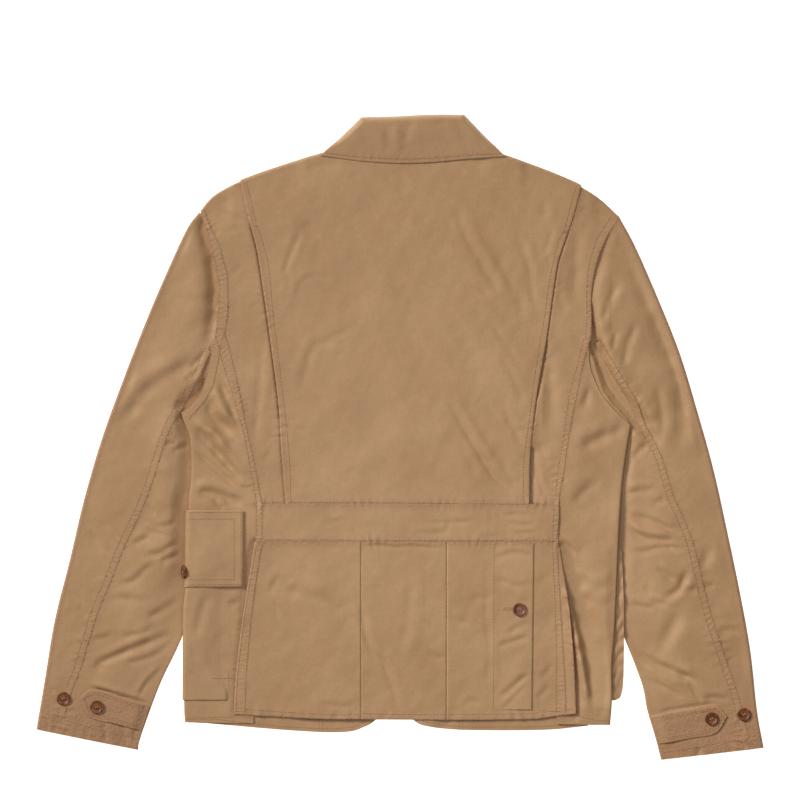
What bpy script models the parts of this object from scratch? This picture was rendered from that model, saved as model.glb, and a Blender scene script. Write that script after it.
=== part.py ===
"""Field jacket laid flat on its front, with the back up.

Each cut piece of cloth is a closed wall of its own, and each button a turned disc.
Sizes and places are in millimetres and become metres when a mesh is made. +X points to
the wearer's right sleeve, +Y to the collar and +Z up. The origin lies on the surface
that the jacket rests on, in the middle of the jacket's outline. Left and right are the
wearer's own.

From the surface upwards lie the pocket flaps, the pocket bags, the two fronts with the
left one outermost, the sides that turn round the side folds, and the back. The back is
cut with two shoulder pleats, a waistband, and a skirt with an inverted box pleat.
"""

import bpy
import numpy as np
from mathutils import Matrix, Vector

MM = 0.001

# Driving sizes of the cloth
CLOTH = 1.2            # wall of every cut piece
LAP = 1.7              # step from one cloth to the one that lies on it
POCKET_LAP = 1.95      # the same for pocket bags and flaps
SEAM_GAP = 0.35        # each piece stops this far short of a seam
SIDE_RADIUS = 2.2      # outer radius of the side folds
SHOULDER_RADIUS = 3.2  # outer radius of the shoulder folds
SHOULDER_LEG = 12.0    # cloth turned under at a shoulder
SLEEVE_OUTER_RADIUS = 3.6
SLEEVE_INNER_RADIUS = 1.6
COLLAR_TOP_HEIGHT = 17.0
COLLAR_EDGE_HEIGHT = 13.6
COLLAR_ROLL = 8.0
STAND_HEIGHT = 2.9
WAIST_TOP = -78.5
WAIST_BOTTOM = -124.0

# Driving sizes of the buttons
BUTTON_RADIUS = 8.0
BUTTON_THICKNESS = 2.6
BUTTON_SIDES = 14
BUTTON_RISE = 3.0      # cloth over a hidden button lies this high

# Folded edges of the outline, each a list of (x, y)
SHOULDER_LEFT = [(-84, 343), (-115, 334), (-161, 319), (-198, 305), (-224, 290), (-240, 272)]
SHOULDER_RIGHT = [(113, 342), (137, 334), (178, 319), (211, 305), (238, 288), (262, 266)]
SIDE_LEFT = [(-262, 28), (-252, 0), (-250, -34), (-251, -59), (-253, -76), (-254, -170),
             (-258, -205), (-259, -314), (-258, -341)]
SIDE_RIGHT = [(277, 16), (272, -11), (267, -47), (264, -82), (262, -116), (257, -229),
              (254, -269), (254, -310), (252, -344)]

# Seams and free edges of the back, each a list of (x, y) from the shoulder down
ARMHOLE_LEFT = [(-240, 272), (-229, 246), (-220, 214), (-215, 178), (-217, 148), (-219, 127)]
ARMHOLE_RIGHT = [(262, 266), (245, 239), (234, 211), (228, 174), (228, 140), (227, 118)]
UNDERARM_LEFT = [(-219, 127), (-226, 94), (-235, 59), (-247, 41), (-262, 28)]
UNDERARM_RIGHT = [(227, 118), (228, 86), (242, 53), (258, 34), (277, 16)]
BACK_SEAM_LEFT = [(-219, 127), (-209, 100), (-199, 62), (-190, 28), (-181, -8), (-175, -48),
                  (-170, WAIST_TOP)]
BACK_SEAM_RIGHT = [(227, 118), (216, 88), (206, 55), (199, 16), (194, -14), (190, -50),
                   (187, WAIST_TOP)]
PLEAT_LEFT = [(-191, 308), (-180, 259), (-172, 229), (-166, 193), (-152, 94), (-145, 34),
              (-142, -17), (-137, WAIST_TOP)]
PLEAT_RIGHT = [(217, 301), (208, 266), (194, 226), (187, 199), (175, 115), (163, 46),
               (156, -20), (155, WAIST_TOP)]
VENT_LEFT = [(-174, WAIST_BOTTOM), (-180, -162), (-186, -198), (-192, -241), (-197, -289),
             (-199, -331)]
VENT_RIGHT = [(190, WAIST_BOTTOM), (199, -178), (205, -229), (209, -280), (211, -330)]
NECK = [(-84, 343), (-60, 351), (-6, 356), (50, 355), (90, 350), (113, 342)]
PLEAT_UNDERLAY = 24.0  # cloth of a back side that runs on under the centre panel
BOX_PLEAT = (-47.0, 56.0)
BOX_UNDERLAY = 18.0

# Sleeves: folded edges from the shoulder or underarm to the cuff, and the back seam
SLEEVE_OUTER_LEFT = [(-241, 271), (-256, 250), (-281, 196), (-304, 142), (-332, 70), (-358, -2),
                     (-379, -74), (-396, -146), (-414, -218), (-426, -290), (-436, -349)]
SLEEVE_INNER_LEFT = [(-236.5, 60), (-248.5, 43), (-260, 32), (-264.5, 25), (-260, 12), (-250, -6),
                     (-245, -34), (-245, -59), (-249, -84), (-251, -146), (-255, -194),
                     (-259, -230), (-268, -254), (-285, -289), (-298, -322), (-312, -362),
                     (-314, -374)]
SLEEVE_OUTER_RIGHT = [(263, 265), (281, 232), (305, 178), (334, 106), (356, 34), (376, -38),
                      (392, -110), (407, -182), (420, -254), (428, -326), (436, -371)]
SLEEVE_INNER_RIGHT = [(242.5, 57), (260, 37), (273, 24.5), (280, 16), (276, 4), (268, -15),
                      (261, -47), (258, -82), (255, -146), (254, -194), (259, -221), (269, -240),
                      (290, -295), (296, -325), (306, -359), (313, -386)]
SLEEVE_SEAM_LEFT = [(-216, 124), (-242, 74), (-262, 43), (-275, 20), (-287, -8), (-300, -50),
                    (-314, -88), (-335, -131), (-352, -174), (-376, -239), (-397, -302),
                    (-412, -360)]
SLEEVE_SEAM_RIGHT = [(224, 130), (254, 84), (277, 46), (287, 20), (307, -19), (317, -50),
                     (324, -68), (342, -114), (354, -151), (367, -206), (400, -307),
                     (414, -385)]
# Each row joins a point of the outer edge to one of the inner edge, as shares of their lengths
SLEEVE_STATIONS = [
    # outer, inner, height of the cloth in the middle
    (0.00, 0.00, 9.6), (0.06, 0.015, 9.8), (0.12, 0.035, 10.0), (0.18, 0.055, 10.0),
    (0.24, 0.075, 10.0), (0.30, 0.10, 10.0), (0.36, 0.14, 9.8), (0.42, 0.20, 9.6),
    (0.48, 0.27, 9.4), (0.54, 0.355, 9.2), (0.60, 0.44, 9.0), (0.66, 0.53, 8.8),
    (0.72, 0.62, 8.6), (0.78, 0.70, 8.4), (0.84, 0.78, 8.0), (0.89, 0.85, 7.4),
    (0.94, 0.915, 7.0), (0.97, 0.955, 7.0), (1.00, 1.00, 7.0),
]
BULGE_REACH = 0.32       # share of the outer edge over which the rows leave the armhole's form
UNDER_SEAM_SHARE = 0.35  # place of the sleeve's hidden seam across its underside

# Height of the back's lowest cloth away from the folds, from the hem up
BACK_HEIGHT = [
    # y, height of the outer face
    (-345, 4.4), (-300, 5.6), (-250, 7.4), (-200, 8.2), (-124, 8.8), (0, 9.2), (100, 9.5),
    (300, 9.8), (390, 9.3),
]
# Height of the side folds' lower face, which clears the sleeves, bags and flaps below it
SIDE_RISE_LEFT = [
    # y, height
    (-345, 0.8), (-320, 2.2), (-250, 6.4), (-220, 6.4), (-182, 8.2), (-78, 8.2), (-50, 4.4),
    (0, 4.6), (30, 5.6),
]
SIDE_RISE_RIGHT = [
    # y, height
    (-345, 1.0), (-322, 6.5), (-95, 6.5), (-62, 4.4), (0, 4.6), (30, 5.6),
]

# Pockets: the left one turns round the side fold, the right one shows past it
FLAP_TOP = -86.0
FLAP_BOTTOM = -178.0
BAG_BOTTOM = -314.0
FLAP_LEFT_INNER = -188.0   # edge of the left flap on the back
BAG_LEFT_INNER = -205.0    # edge of the left bag on the back
POCKET_LEFT_UNDER = -153.0  # edge of the left pocket on the underside
BAG_RIGHT = [(262, -128), (266, -150), (268, -190), (268, -280), (265, -308), (258, BAG_BOTTOM)]
POCKET_RIGHT_UNDER = 96.0
FLAP_RIGHT_OUTER = 226.0
BAG_RIGHT_RISE = 4.6       # the right bag's height where it passes over the sleeve
HIDDEN_FLAP_BUTTON = (166.0, -160.0)
FRONT_BUTTON_ROWS = [196, 106, 16, -74, -164]

# Finishes: name, linear colour and roughness
COTTON = ("cotton", (0.37, 0.21, 0.11, 1.0), 0.85)
HORN = ("horn", (0.09, 0.035, 0.014, 1.0), 0.35)


# ------------------------------------------------------------------ curves and grids

def smooth(value):
    """Ease from 0 to 1 as value goes from 0 to 1."""
    value = np.clip(value, 0.0, 1.0)
    return value * value * (3.0 - 2.0 * value)


def plateau(value, low, high, slope):
    """1 from low to high, easing to 0 at slope outside them."""
    return smooth((value - low) / slope + 1.0) * smooth((high - value) / slope + 1.0)


def column(rows, number):
    """One column of a table as an array."""
    return np.array([row[number] for row in rows], float)


def through(points, shares, rounded=True):
    """Points of a curve through the given ones, at shares of its length."""
    knots = np.array(points, float)
    if rounded and len(knots) > 2:
        steps = np.linspace(0.0, 1.0, 13)[:-1, None]
        ends = np.vstack([2 * knots[0] - knots[1], knots, 2 * knots[-1] - knots[-2]])
        parts = []
        for a, b, c, d in zip(ends, ends[1:], ends[2:], ends[3:]):
            parts.append(0.5 * (2 * b + (c - a) * steps + (2 * a - 5 * b + 4 * c - d) * steps ** 2
                                + (3 * b - a - 3 * c + d) * steps ** 3))
        knots = np.vstack(parts + [knots[-1:]])
    lengths = np.r_[0.0, np.cumsum(np.linalg.norm(np.diff(knots, axis=0), axis=1))]
    wanted = np.asarray(shares) * lengths[-1]
    return np.column_stack([np.interp(wanted, lengths, knots[:, k]) for k in range(2)])


def shares(count):
    """Even shares from 0 to 1 for a number of cells."""
    return np.linspace(0.0, 1.0, count + 1)


def patch(top, bottom, left, right, across, down):
    """Four-sided net of (x, y): rows run from the left edge to the right one."""
    across, down = np.asarray(across), np.asarray(down)
    u, v = across[None, :, None], down[:, None, None]
    top, bottom = through(top, across)[None], through(bottom, across)[None]
    left, right = through(left, down)[:, None], through(right, down)[:, None]
    corners = ((1 - u) * (1 - v) * top[:, :1] + u * (1 - v) * top[:, -1:]
               + (1 - u) * v * bottom[:, :1] + u * v * bottom[:, -1:])
    return (1 - v) * top + v * bottom + (1 - u) * left + u * right - corners


def drawn_in(net, gap, sides):
    """Move the named sides of a net inwards by a gap."""
    net = net.copy()
    pairs = {"top": (0, 1), "bottom": (-1, -2)}
    for side, (edge, inside) in pairs.items():
        if side in sides:
            step = net[inside] - net[edge]
            net[edge] += gap * step / np.linalg.norm(step, axis=1)[:, None]
    pairs = {"left": (0, 1), "right": (-1, -2)}
    for side, (edge, inside) in pairs.items():
        if side in sides:
            step = net[:, inside] - net[:, edge]
            net[:, edge] += gap * step / np.linalg.norm(step, axis=1)[:, None]
    return net


def shifted(points, distance):
    """The same line moved along X."""
    return [(x + distance, y) for x, y in points]


def distance_to(line, x, y):
    """Distance of each point to a line of straight stretches."""
    nearest = np.full(np.shape(x), np.inf)
    for (ax, ay), (bx, by) in zip(line, line[1:]):
        length = (bx - ax) ** 2 + (by - ay) ** 2
        share = np.clip(((x - ax) * (bx - ax) + (y - ay) * (by - ay)) / length, 0.0, 1.0)
        away = np.hypot(x - ax - share * (bx - ax), y - ay - share * (by - ay))
        nearest = np.minimum(nearest, away)
    return nearest


# ------------------------------------------------------------------ heights of the layers

def centre_line(y):
    """X of the jacket's middle, which leans a little to the wearer's right."""
    return -3.0 + (y + 340.0) * 0.0265


def side_rise(y, side):
    """Height of a side fold's lower face: side is -1 for the left and 1 for the right."""
    rows = SIDE_RISE_LEFT if side < 0 else SIDE_RISE_RIGHT
    return np.interp(y, column(rows, 0), column(rows, 1))


def shoulder_rise(x):
    """Height of a shoulder fold's lower face, over the collar's front ends near the neck."""
    away = np.abs(x - centre_line(330.0))
    return LAP * (2.0 - smooth((away - 126.0) / 14.0) - smooth((away - 212.0) / 14.0))


def button_dome(x, y):
    """Height that the right flap's hidden button gives the cloth over it."""
    away = np.hypot(x - HIDDEN_FLAP_BUTTON[0], y - HIDDEN_FLAP_BUTTON[1])
    return BUTTON_RISE * (1.0 - smooth((away - 16.0) / 42.0))


def soft_folds(x, y):
    """The largest soft folds of the back."""
    total = np.zeros(np.shape(x))
    for x0, y0, x1, y1, width, height in (
            # from x, y to x, y, half width, height
            (228, -150, 242, -300, 26, 2.2),
            (-205, 40, -150, -30, 30, 1.0),
            (238, 30, 205, -60, 26, 1.2),
            (-110, -190, -60, -300, 34, 0.8),
            (100, 180, 150, 40, 40, 0.8),
            (HIDDEN_FLAP_BUTTON[0], HIDDEN_FLAP_BUTTON[1] + 4,
             HIDDEN_FLAP_BUTTON[0], HIDDEN_FLAP_BUTTON[1] - 4, 70, 1.6)):
        away = distance_to([(x0, y0), (x1, y1)], x, y)
        total = total + height * (1.0 - smooth(away / width))
    return total


def ground(x, y):
    """Outer face of the back's lowest cloth."""
    height = np.interp(y, column(BACK_HEIGHT, 0), column(BACK_HEIGHT, 1)) + soft_folds(x, y)
    for line, edge, radius, reach in (
            (SIDE_LEFT, side_rise(y, -1) + 2 * SIDE_RADIUS, SIDE_RADIUS, 60.0),
            (SIDE_RIGHT, side_rise(y, 1) + 2 * SIDE_RADIUS, SIDE_RADIUS, 60.0),
            (SHOULDER_LEFT, shoulder_rise(x) + 2 * SHOULDER_RADIUS, SHOULDER_RADIUS, 50.0),
            (NECK, shoulder_rise(x) + 2 * SHOULDER_RADIUS, SHOULDER_RADIUS, 50.0),
            (SHOULDER_RIGHT, shoulder_rise(x) + 2 * SHOULDER_RADIUS, SHOULDER_RADIUS, 50.0)):
        share = smooth((distance_to(line, x, y) - radius) / reach)
        height = edge + (height - edge) * share
    return height


def under_layers(x, y):
    """Height of what lies between the fronts and the surface: buttons, pockets, collar."""
    from_centre = x - centre_line(y)
    strip = BUTTON_RISE * plateau(from_centre, -34, 34, 30) * plateau(y, -190, 220, 45)
    left = POCKET_LAP * plateau(x, -300, -138, 26) * (
        plateau(y, BAG_BOTTOM - 14, FLAP_TOP + 14, 40)
        + plateau(y, FLAP_BOTTOM - 14, FLAP_TOP + 14, 40))
    right = POCKET_LAP * plateau(x, POCKET_RIGHT_UNDER - 16, 320, 26) * (
        plateau(y, BAG_BOTTOM - 14, FLAP_TOP + 14, 40)
        + plateau(y, FLAP_BOTTOM - 14, FLAP_TOP + 14, 40))
    collar = LAP * plateau(from_centre, -122, 122, 20) * plateau(y, 212, 420, 26)
    return np.maximum(strip, collar) + left + right + button_dome(x, y)


def front_height(x, y):
    """Outer, lower face of the fronts and of the sides' cloth on the underside."""
    height = under_layers(x, y)
    for line, side in ((SIDE_LEFT, -1), (SIDE_RIGHT, 1)):
        share = smooth((distance_to(line, x, y) - SIDE_RADIUS) / 40.0)
        height = side_rise(y, side) + (height - side_rise(y, side)) * share
    return height


# ------------------------------------------------------------------ making solids

def material(node, finish):
    """A plain Principled material for one node."""
    word, colour, roughness = finish
    made = bpy.data.materials.new(f"{node}_{word}")
    made.use_nodes = True
    shader = made.node_tree.nodes["Principled BSDF"]
    shader.inputs["Base Color"].default_value = colour
    shader.inputs["Roughness"].default_value = roughness
    shader.inputs["Metallic"].default_value = 0.0
    return made


def place(name, mesh, finish):
    """Put a mesh in the scene under its node's name."""
    body = bpy.data.objects.new(name, mesh)
    bpy.context.scene.collection.objects.link(body)
    mesh.materials.append(material(name, finish))
    mesh.shade_smooth()
    mesh.set_sharp_from_angle(angle=0.7)
    return body


def cloth(name, net, facing):
    """A wall of cloth whose outer face is a net of (x, y, z), on the side that faces up or down."""
    rows, columns = net.shape[:2]
    faces = []
    for i in range(rows - 1):
        for j in range(columns - 1):
            corner = i * columns + j
            faces.append((corner, corner + columns, corner + columns + 1, corner + 1))
    mesh = bpy.data.meshes.new(name)
    mesh.from_pydata([tuple(point * MM) for point in net.reshape(-1, 3)], [], faces)
    mesh.update()
    middle = net[..., 2].mean() * MM
    up = sum(face.normal.z * face.area for face in mesh.polygons if face.center.z >= middle)
    if up * facing < 0:
        mesh.flip_normals()
    body = place(name, mesh, COTTON)
    wall = body.modifiers.new("wall", "SOLIDIFY")
    wall.thickness = CLOTH * MM
    wall.offset = -1.0
    wall.use_even_offset = False
    return body


def lifted(plan, height):
    """A net of (x, y, z) from a plan of (x, y) and its heights."""
    return np.concatenate([plan, np.asarray(height)[..., None]], axis=2)


def rolled(edge, inward, low, radius, segments):
    """Rows of a half-round fold from its top to its foot, outside an edge drawn in by the radius."""
    rows = []
    for angle in np.linspace(0.0, np.pi, segments + 1)[1:]:
        plan = edge - inward * radius * np.sin(angle)
        height = low + radius + radius * np.cos(angle)
        rows.append(np.column_stack([plan, height]))
    return rows


def inward_normals(line, towards):
    """Unit normals of a sampled line, on the side of a point."""
    run = np.gradient(line, axis=0)
    normal = np.column_stack([-run[:, 1], run[:, 0]])
    normal /= np.linalg.norm(normal, axis=1)[:, None]
    flip = np.sign(np.sum(normal * (np.array(towards) - line), axis=1))
    return normal * flip[:, None]


def button(name, centre, axis=(0.0, 0.0, 1.0)):
    """A turned button with a raised rim; the centre is the middle of its back."""
    profile = [
        # radius, height
        (BUTTON_RADIUS * 0.86, 0.0), (BUTTON_RADIUS, BUTTON_THICKNESS * 0.4),
        (BUTTON_RADIUS * 0.92, BUTTON_THICKNESS), (BUTTON_RADIUS * 0.62, BUTTON_THICKNESS * 0.66),
    ]
    points, faces = [], []
    for radius, height in profile:
        for k in range(BUTTON_SIDES):
            turn = 2 * np.pi * k / BUTTON_SIDES
            points.append((radius * np.cos(turn), radius * np.sin(turn), height))
    for ring in range(len(profile) - 1):
        for k in range(BUTTON_SIDES):
            a = ring * BUTTON_SIDES + k
            b = ring * BUTTON_SIDES + (k + 1) % BUTTON_SIDES
            faces.append((a, b, b + BUTTON_SIDES, a + BUTTON_SIDES))
    faces.append(tuple(reversed(range(BUTTON_SIDES))))
    faces.append(tuple(range((len(profile) - 1) * BUTTON_SIDES, len(profile) * BUTTON_SIDES)))
    mesh = bpy.data.meshes.new(name)
    turn = Vector((0, 0, 1)).rotation_difference(Vector(axis)).to_matrix().to_4x4()
    shift = Matrix.Translation(Vector(centre) * MM) @ turn @ Matrix.Scale(MM, 4)
    mesh.from_pydata([tuple(shift @ Vector(point)) for point in points], [], faces)
    mesh.update()
    return place(name, mesh, HORN)


# ------------------------------------------------------------------ the back

def shouldered(plan, level, name):
    """A back piece that turns round the shoulder fold: level counts the cloths below it."""
    radius = SHOULDER_RADIUS + level * LAP
    outline = plan[0]
    inward = inward_normals(outline, (centre_line(0.0), -200.0))
    plan = plan.copy()
    plan[0] = outline + inward * SHOULDER_RADIUS
    top = lifted(plan, ground(plan[..., 0], plan[..., 1]) + level * LAP)
    low = shoulder_rise(plan[0][:, 0]) - level * LAP
    top[0][:, 2] = low + 2 * radius
    turned = rolled(plan[0], inward, low, radius, 4)
    leg = np.column_stack([plan[0] + inward * SHOULDER_LEG, low])
    rows = [leg] + turned[::-1] + list(top)
    return cloth(name, np.array(rows), 1)


def back_centre():
    """Centre panel of the back, from pleat to pleat and from the neck to the waistband."""
    top = [PLEAT_LEFT[0], *SHOULDER_LEFT[2:0:-1], *NECK, *SHOULDER_RIGHT[1:4], PLEAT_RIGHT[0]]
    across = np.r_[0.0, 0.03, np.linspace(0.07, 0.93, 14), 0.965, 1.0]
    plan = patch(top, [PLEAT_LEFT[-1], PLEAT_RIGHT[-1]], PLEAT_LEFT, PLEAT_RIGHT,
                 across, shares(16))
    plan = drawn_in(plan, SEAM_GAP, ("bottom",))
    shouldered(plan, 1, "back_centre")


def back_side(side):
    """Side of the back, between the armhole and the pleat, which it underlies."""
    if side < 0:
        name, pleat, armhole = "back_side_left", PLEAT_LEFT, ARMHOLE_LEFT + BACK_SEAM_LEFT[1:]
        hidden = shifted(pleat, PLEAT_UNDERLAY)
        hidden[0] = (hidden[0][0], 317.0)
        top = [armhole[0], (-224, 290), (-198, 305), hidden[0]]
        plan = patch(top, [armhole[-1], hidden[-1]], armhole, hidden, shares(5), shares(18))
        plan = drawn_in(plan, SEAM_GAP, ("bottom", "left"))
    else:
        name, pleat, armhole = "back_side_right", PLEAT_RIGHT, ARMHOLE_RIGHT + BACK_SEAM_RIGHT[1:]
        hidden = shifted(pleat, -PLEAT_UNDERLAY)
        hidden[0] = (hidden[0][0], 312.2)
        top = [hidden[0], (211, 304.3), (238, 288), armhole[0]]
        plan = patch(top, [hidden[-1], armhole[-1]], hidden, armhole, shares(5), shares(18))
        plan = drawn_in(plan, SEAM_GAP, ("bottom", "right"))
    shouldered(plan, 0, name)


def waistband():
    """Band across the back's waist, between the back seams."""
    left, right = BACK_SEAM_LEFT[-1][0] - 3.0, BACK_SEAM_RIGHT[-1][0] + 2.0
    plan = patch([(left, WAIST_TOP), (right, WAIST_TOP)], [(left, WAIST_BOTTOM), (right, WAIST_BOTTOM)],
                 [(left, WAIST_TOP), (left, WAIST_BOTTOM)], [(right, WAIST_TOP), (right, WAIST_BOTTOM)],
                 shares(18), shares(2))
    plan = drawn_in(plan, SEAM_GAP, ("top", "bottom"))
    cloth("waistband", lifted(plan, ground(plan[..., 0], plan[..., 1]) + LAP), 1)


def skirt():
    """Skirt below the waistband: two halves that lie on the floor of a box pleat."""
    left_edge, right_edge = BOX_PLEAT
    hem_left = [VENT_LEFT[-1], (-149, -334), (-89, -337), (left_edge, -337)]
    hem_right = [(right_edge, -338), (155, -337), (182, -334), VENT_RIGHT[-1]]
    inner_left = [(left_edge, WAIST_BOTTOM), (left_edge, -337)]
    inner_right = [(right_edge, WAIST_BOTTOM), (right_edge, -338)]
    plan = patch([VENT_LEFT[0], inner_left[0]], hem_left, VENT_LEFT, inner_left,
                 shares(7), shares(10))
    plan = drawn_in(plan, SEAM_GAP, ("top",))
    cloth("skirt_left", lifted(plan, ground(plan[..., 0], plan[..., 1]) + LAP), 1)
    plan = patch([inner_right[0], VENT_RIGHT[0]], hem_right, inner_right, VENT_RIGHT,
                 shares(8), shares(10))
    plan = drawn_in(plan, SEAM_GAP, ("top",))
    cloth("skirt_right", lifted(plan, ground(plan[..., 0], plan[..., 1]) + LAP), 1)
    low, high = left_edge - BOX_UNDERLAY, right_edge + BOX_UNDERLAY
    plan = patch([(low, WAIST_BOTTOM), (high, WAIST_BOTTOM)], [(low, -337), (high, -338)],
                 [(low, WAIST_BOTTOM), (low, -337)], [(high, WAIST_BOTTOM), (high, -338)],
                 shares(7), shares(10))
    plan = drawn_in(plan, SEAM_GAP, ("top",))
    cloth("skirt_pleat", lifted(plan, ground(plan[..., 0], plan[..., 1])), 1)


def rear_pocket():
    """Buttoned placket of the large pocket in the skirt's right half, with its button."""
    plan = patch([(113, -126), (160, -126)], [(112, -325), (158, -325)],
                 [(113, -126), (112, -325)], [(160, -126), (158, -325)], shares(3), shares(10))
    cloth("rear_pocket_placket",
          lifted(plan, ground(plan[..., 0], plan[..., 1]) + 2 * LAP), 1)
    x, y = 143.0, -205.0
    button("rear_pocket_button", (x, y, ground(x, y) + 2 * LAP + 0.5))


# ------------------------------------------------------------------ sides, pockets and fronts

def side_panel(side):
    """Side of the body, which turns round the side fold to a seam on the underside."""
    if side < 0:
        name, fold, arm = "side_left", SIDE_LEFT, UNDERARM_LEFT
        seam = BACK_SEAM_LEFT + [(-167, WAIST_BOTTOM), (-166, -200), (-176, -342)]
        under = [(-237, 47), (-226, 0), (-224, -59), (-227, -76), (-228, -170), (-232, -342)]
    else:
        name, fold, arm = "side_right", SIDE_RIGHT, UNDERARM_RIGHT
        seam = BACK_SEAM_RIGHT + [(184, WAIST_BOTTOM), (182, -200), (188, -343)]
        under = [(244, 44), (246, -11), (241, -47), (238, -82), (231, -229), (226, -344)]
    down = shares(20)
    edge = through(fold, down)
    inward = inward_normals(edge, (centre_line(0.0), -100.0))
    inset = edge + inward * SIDE_RADIUS
    across = shares(5)
    plan = patch(arm[::-1], [fold[-1], seam[-1]], fold, seam, across, down)
    plan = plan + (inset - edge)[:, None] * (1.0 - across)[None, :, None]
    plan = drawn_in(plan, 2 * SEAM_GAP, ("top",))
    plan = drawn_in(plan, SEAM_GAP, ("right",))
    low = side_rise(plan[:, 0, 1], side)
    top = lifted(plan, ground(plan[..., 0], plan[..., 1]))
    top[:, 0, 2] = low + 2 * SIDE_RADIUS
    turned = rolled(plan[:, 0], inward, low, SIDE_RADIUS, 4)
    foot = through(under, down)
    legs = []
    for share in (0.5, 1.0):
        leg = plan[:, 0] + (foot - plan[:, 0]) * share
        height = front_height(leg[:, 0], leg[:, 1])
        legs.append(np.column_stack([leg, height]))
    columns = [top[:, k] for k in range(len(across) - 1, -1, -1)] + turned + legs
    cloth(name, np.stack(columns, axis=1), 1)


def wrapped(name, inner, under, rows_y, level):
    """A pocket piece on the left side panel, from the back round the side fold to the underside."""
    out = level * POCKET_LAP
    rows_y = np.asarray(rows_y, float)
    line = np.array(SIDE_LEFT, float)[::-1]
    fold = np.interp(rows_y, line[:, 1], line[:, 0]) + SIDE_RADIUS
    low = side_rise(rows_y, -1)
    columns = []
    for share in (0.0, 0.35, 0.7, 1.0):
        x = inner + (fold - inner) * share
        height = low + 2 * SIDE_RADIUS if share == 1.0 else ground(x, rows_y)
        columns.append(np.column_stack([x, rows_y, height + out]))
    plan = np.column_stack([fold, rows_y])
    outward = np.tile([1.0, 0.0], (len(rows_y), 1))
    columns += rolled(plan, outward, low - out, SIDE_RADIUS + out, 4)
    for share in (0.15, 0.3, 0.45, 0.7, 1.0):
        x = fold + (under - fold) * share
        height = front_height(x, rows_y) - out
        columns.append(np.column_stack([x, rows_y, height]))
    return cloth(name, np.stack(columns, axis=1), 1)


def left_pocket():
    """Bag and flap of the left pocket, with the flap's button standing at the fold."""
    wrapped("pocket_bag_left", BAG_LEFT_INNER, POCKET_LEFT_UNDER,
            np.linspace(FLAP_TOP - 6.0, BAG_BOTTOM, 12), 1)
    wrapped("pocket_flap_left", FLAP_LEFT_INNER, POCKET_LEFT_UNDER + 2.0,
            np.linspace(FLAP_TOP, FLAP_BOTTOM, 7), 2)
    button("pocket_button_left", (-257.6, -160.0, 11.9), (-0.95, 0.0, 0.31))


def right_pocket():
    """Bag and flap of the right pocket, on the underside and a little past the side fold."""
    down = shares(10)
    bag_edge = [(FLAP_RIGHT_OUTER, FLAP_TOP - 6.0)] + BAG_RIGHT
    plan = patch([(POCKET_RIGHT_UNDER, FLAP_TOP - 6.0), bag_edge[0]],
                 [(POCKET_RIGHT_UNDER, BAG_BOTTOM), BAG_RIGHT[-1]],
                 [(POCKET_RIGHT_UNDER, FLAP_TOP - 6.0), (POCKET_RIGHT_UNDER, BAG_BOTTOM)],
                 bag_edge, shares(8), down)
    x, y = plan[..., 0], plan[..., 1]
    low = under_layers(x, y) - POCKET_LAP
    rise = (BAG_RIGHT_RISE - low) * smooth((x - 230.0) / 20.0)
    cloth("pocket_bag_right", lifted(plan, low + rise), -1)
    plan = patch([(POCKET_RIGHT_UNDER - 2, FLAP_TOP), (FLAP_RIGHT_OUTER, FLAP_TOP)],
                 [(POCKET_RIGHT_UNDER - 2, FLAP_BOTTOM), (FLAP_RIGHT_OUTER, FLAP_BOTTOM)],
                 [(POCKET_RIGHT_UNDER - 2, FLAP_TOP), (POCKET_RIGHT_UNDER - 2, FLAP_BOTTOM)],
                 [(FLAP_RIGHT_OUTER, FLAP_TOP), (FLAP_RIGHT_OUTER, FLAP_BOTTOM)],
                 shares(8), shares(6))
    cloth("pocket_flap_right", lifted(plan, button_dome(plan[..., 0], plan[..., 1])), -1)
    button("pocket_button_right", (*HIDDEN_FLAP_BUTTON, BUTTON_THICKNESS), (0.0, 0.0, -1.0))


def front(side):
    """Front panel on the underside: the left one is outermost at the closing."""
    edge_x = 22.0
    if side < 0:
        name = "front_left"
        top = [(-233, 253), (-158, 296), (-79, 323), (-62, 295), (-30, 270), (edge_x, 262)]
        closing = [(edge_x, 262), (edge_x - 6, 60), (edge_x - 12, -200), (edge_x - 15, -262),
                   (0, -306)]
        hem = [(-231.5, -342), (-139, -350), (-89, -353), (-60, -352), (-44, -347), (-29, -338),
               (0, -306)]
        outer = [(-233, 253), (-225, 238), (-217, 205), (-213, 165), (-218, 112), (-228, 72),
                 (-231, 40), (-224.5, 0), (-223, -59), (-226, -76), (-227, -170), (-231.5, -342)]
        plan = patch(top, hem, outer, closing, shares(10), shares(19))
        raised = 0.0
    else:
        name = "front_right"
        top = [(-edge_x + 10, 262), (62, 270), (90, 295), (108, 322), (174, 299), (251, 248)]
        closing = [(-edge_x + 10, 262), (-edge_x + 4, 60), (-edge_x - 4, -200),
                   (-edge_x - 6, -262), (-6, -310)]
        hem = [(-6, -310), (16, -338), (35, -346), (76, -350), (172, -350), (225.5, -345)]
        outer = [(251, 248), (241, 232), (232, 208), (227, 174), (226.5, 140), (226, 100),
                 (231, 68), (241, 40), (245, -11), (240, -47), (237, -82), (230, -229),
                 (225.5, -345)]
        plan = patch(top, hem, closing, outer, shares(10), shares(19))
        from_edge = plan[..., 0] - centre_line(plan[..., 1])
        raised = (LAP + 0.4) * (1.0 - smooth((from_edge - 34.0) / 24.0))
    plan = drawn_in(plan, SEAM_GAP, ("left", "right"))
    cloth(name, lifted(plan, front_height(plan[..., 0], plan[..., 1]) + raised), -1)


def front_buttons():
    """Buttons of the closing, on the underside."""
    for number, y in enumerate(FRONT_BUTTON_ROWS, 1):
        button(f"front_button_{number}", (centre_line(y), y, BUTTON_THICKNESS), (0.0, 0.0, -1.0))


# ------------------------------------------------------------------ collar

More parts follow.
